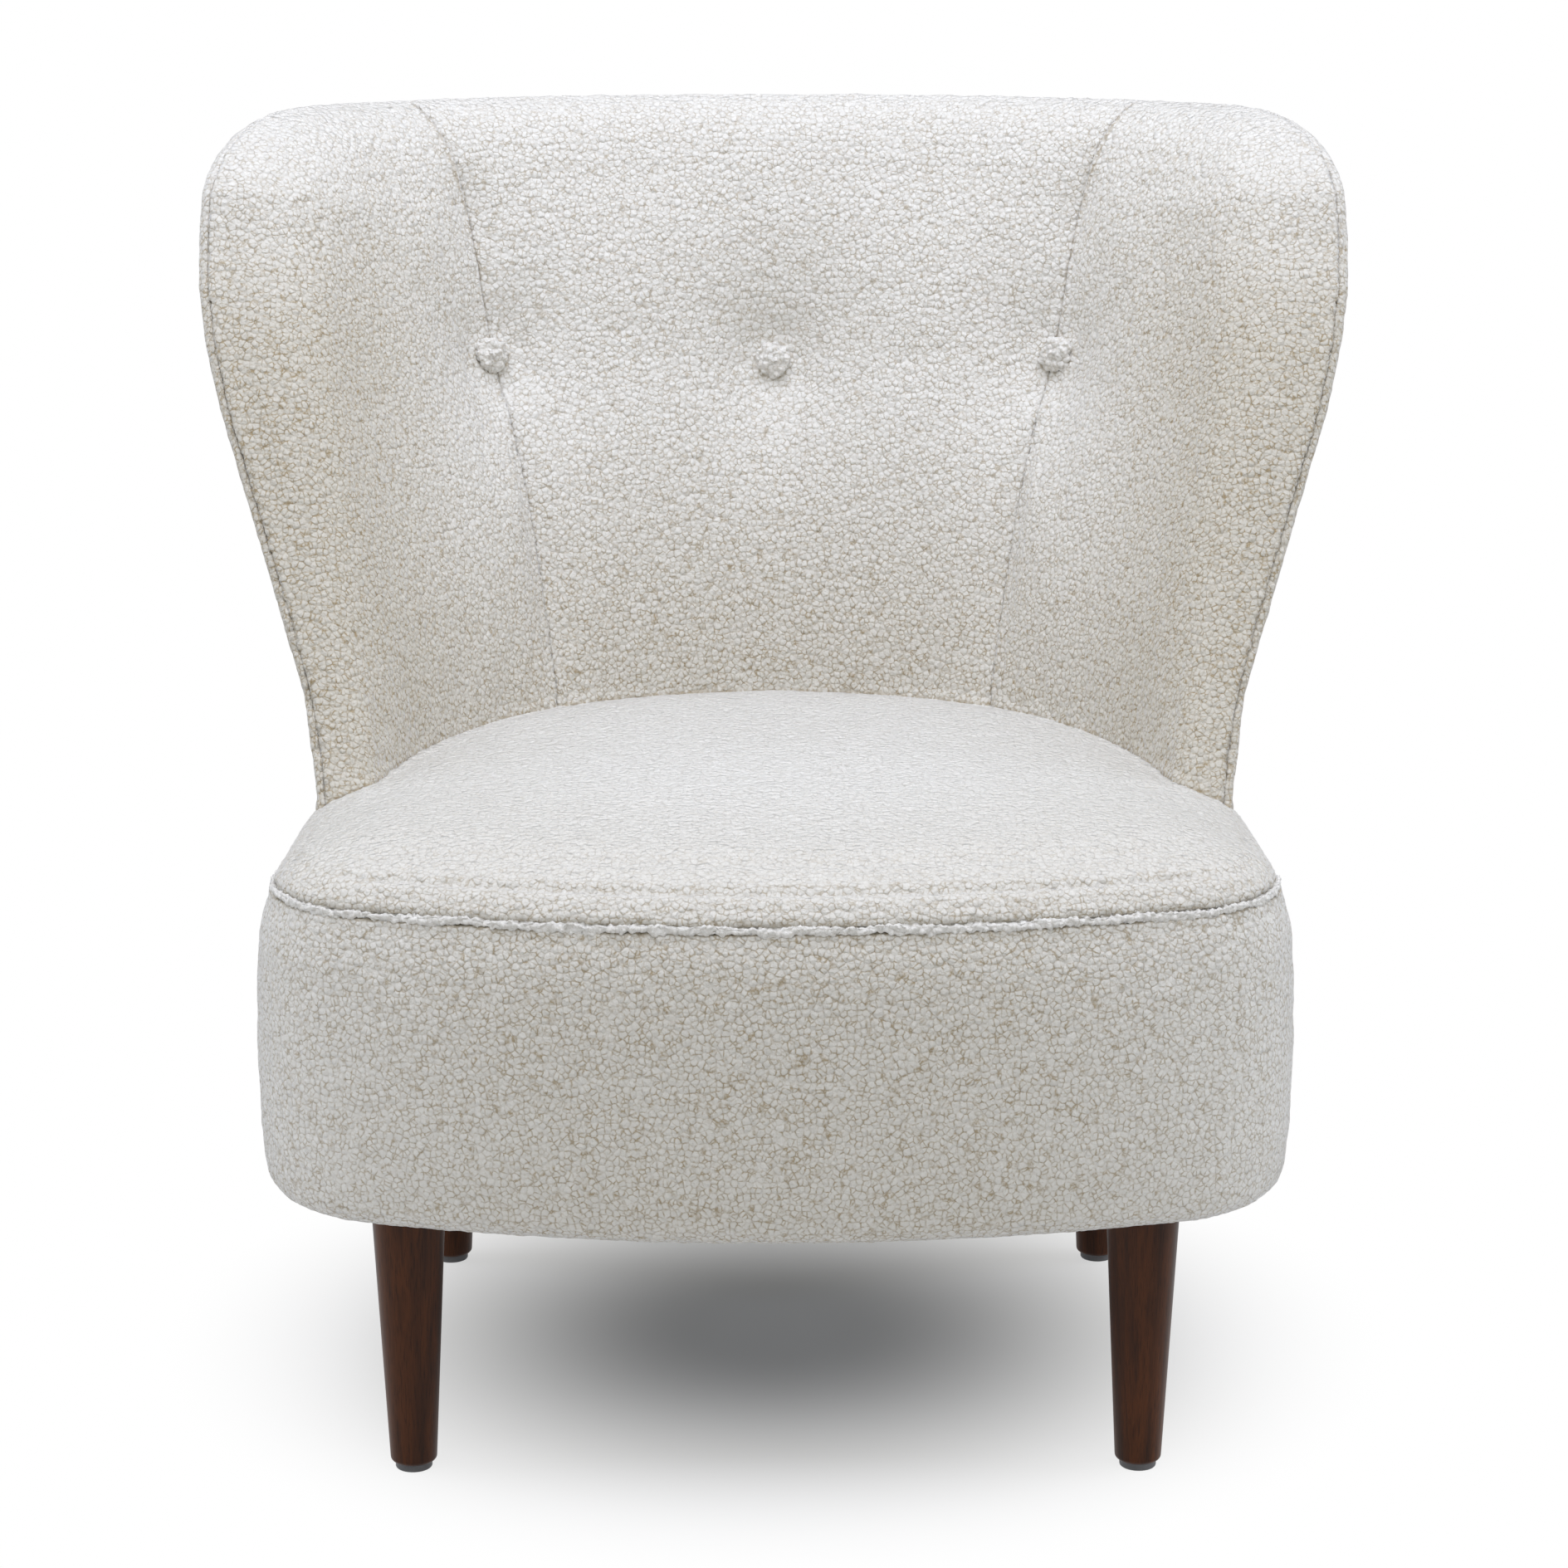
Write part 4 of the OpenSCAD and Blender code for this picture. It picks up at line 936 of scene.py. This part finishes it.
def chosen(tree, share, first, second, out):
    """Shows second in place of first, by share."""
    choose = tree.nodes.new("ShaderNodeMixShader")
    link(tree, share, choose.inputs[0])
    link(tree, first.outputs[0], choose.inputs[1])
    link(tree, second.outputs[0], choose.inputs[2])
    link(tree, choose.outputs[0], out.inputs["Surface"])


def studio_floor():
    bpy.ops.object.select_all(action="DESELECT")
    bpy.ops.mesh.primitive_plane_add(size=FLOOR_SIDE, location=(0.0, 0.0, 0.0))
    floor = bpy.context.active_object
    floor.name = "studio_floor"
    material, tree, shader = new_material("studio_floor_white")
    shader.inputs["Base Color"].default_value = FLOOR_PAINT
    shader.inputs["Roughness"].default_value = 0.9
    shader.inputs["Specular IOR Level"].default_value = 0.0
    glow = add(tree, "ShaderNodeEmission", Strength=1.0)
    # Away from the chair the floor runs out into the white sweep behind it.
    reach = add(tree, "ShaderNodeVectorMath", operation="LENGTH")
    link(tree, own_place(tree), reach.inputs[0])
    sweep = add(tree, "ShaderNodeMapRange", interpolation_type="SMOOTHSTEP")
    sweep.inputs["From Min"].default_value = SWEEP[0]
    sweep.inputs["From Max"].default_value = SWEEP[1]
    link(tree, reach.outputs["Value"], sweep.inputs["Value"])
    out = next(node for node in tree.nodes if node.type == "OUTPUT_MATERIAL")
    chosen(tree, product(tree, seen_directly(tree), sweep.outputs["Result"]), shader, glow, out)
    floor.data.materials.append(material)


def surroundings(scene):
    """A warm, dim room for the light that comes from all round, seen as plain white."""
    world = bpy.data.worlds.new("studio")
    scene.world = world
    world.use_nodes = True
    tree = world.node_tree
    tree.nodes.clear()
    out = tree.nodes.new("ShaderNodeOutputWorld")
    room = add(tree, "ShaderNodeBackground", Color=ROOM_COLOUR, Strength=ROOM_STRENGTH)
    white = add(tree, "ShaderNodeBackground", Color=WHITE, Strength=1.0)
    chosen(tree, seen_directly(tree), room, white, out)


def softbox(scene, name, place, size, watts, colour):
    lamp = bpy.data.lights.new(name, "AREA")
    lamp.shape = "RECTANGLE"
    lamp.size, lamp.size_y = size
    lamp.energy = watts
    lamp.color = colour
    holder = bpy.data.objects.new(name, lamp)
    scene.collection.objects.link(holder)
    holder.location = place
    holder.rotation_euler = (Vector(AIM) - Vector(place)).to_track_quat("-Z", "Y").to_euler()


def photo_camera(scene):
    lens = bpy.data.cameras.new("photo_camera")
    lens.sensor_width = CAMERA_SENSOR
    lens.lens = CAMERA_LENS
    lens.clip_start = CAMERA_NEAREST
    camera = bpy.data.objects.new("photo_camera", lens)
    scene.collection.objects.link(camera)
    camera.location = CAMERA_PLACE
    camera.rotation_euler = (math.radians(CAMERA_TILT), 0.0, math.radians(CAMERA_TURN))
    scene.camera = camera


def studio():
    scene = bpy.context.scene
    scene.view_settings.view_transform = "Standard"
    studio_floor()
    surroundings(scene)
    for box in SOFTBOXES:
        softbox(scene, *box)
    photo_camera(scene)


studio()
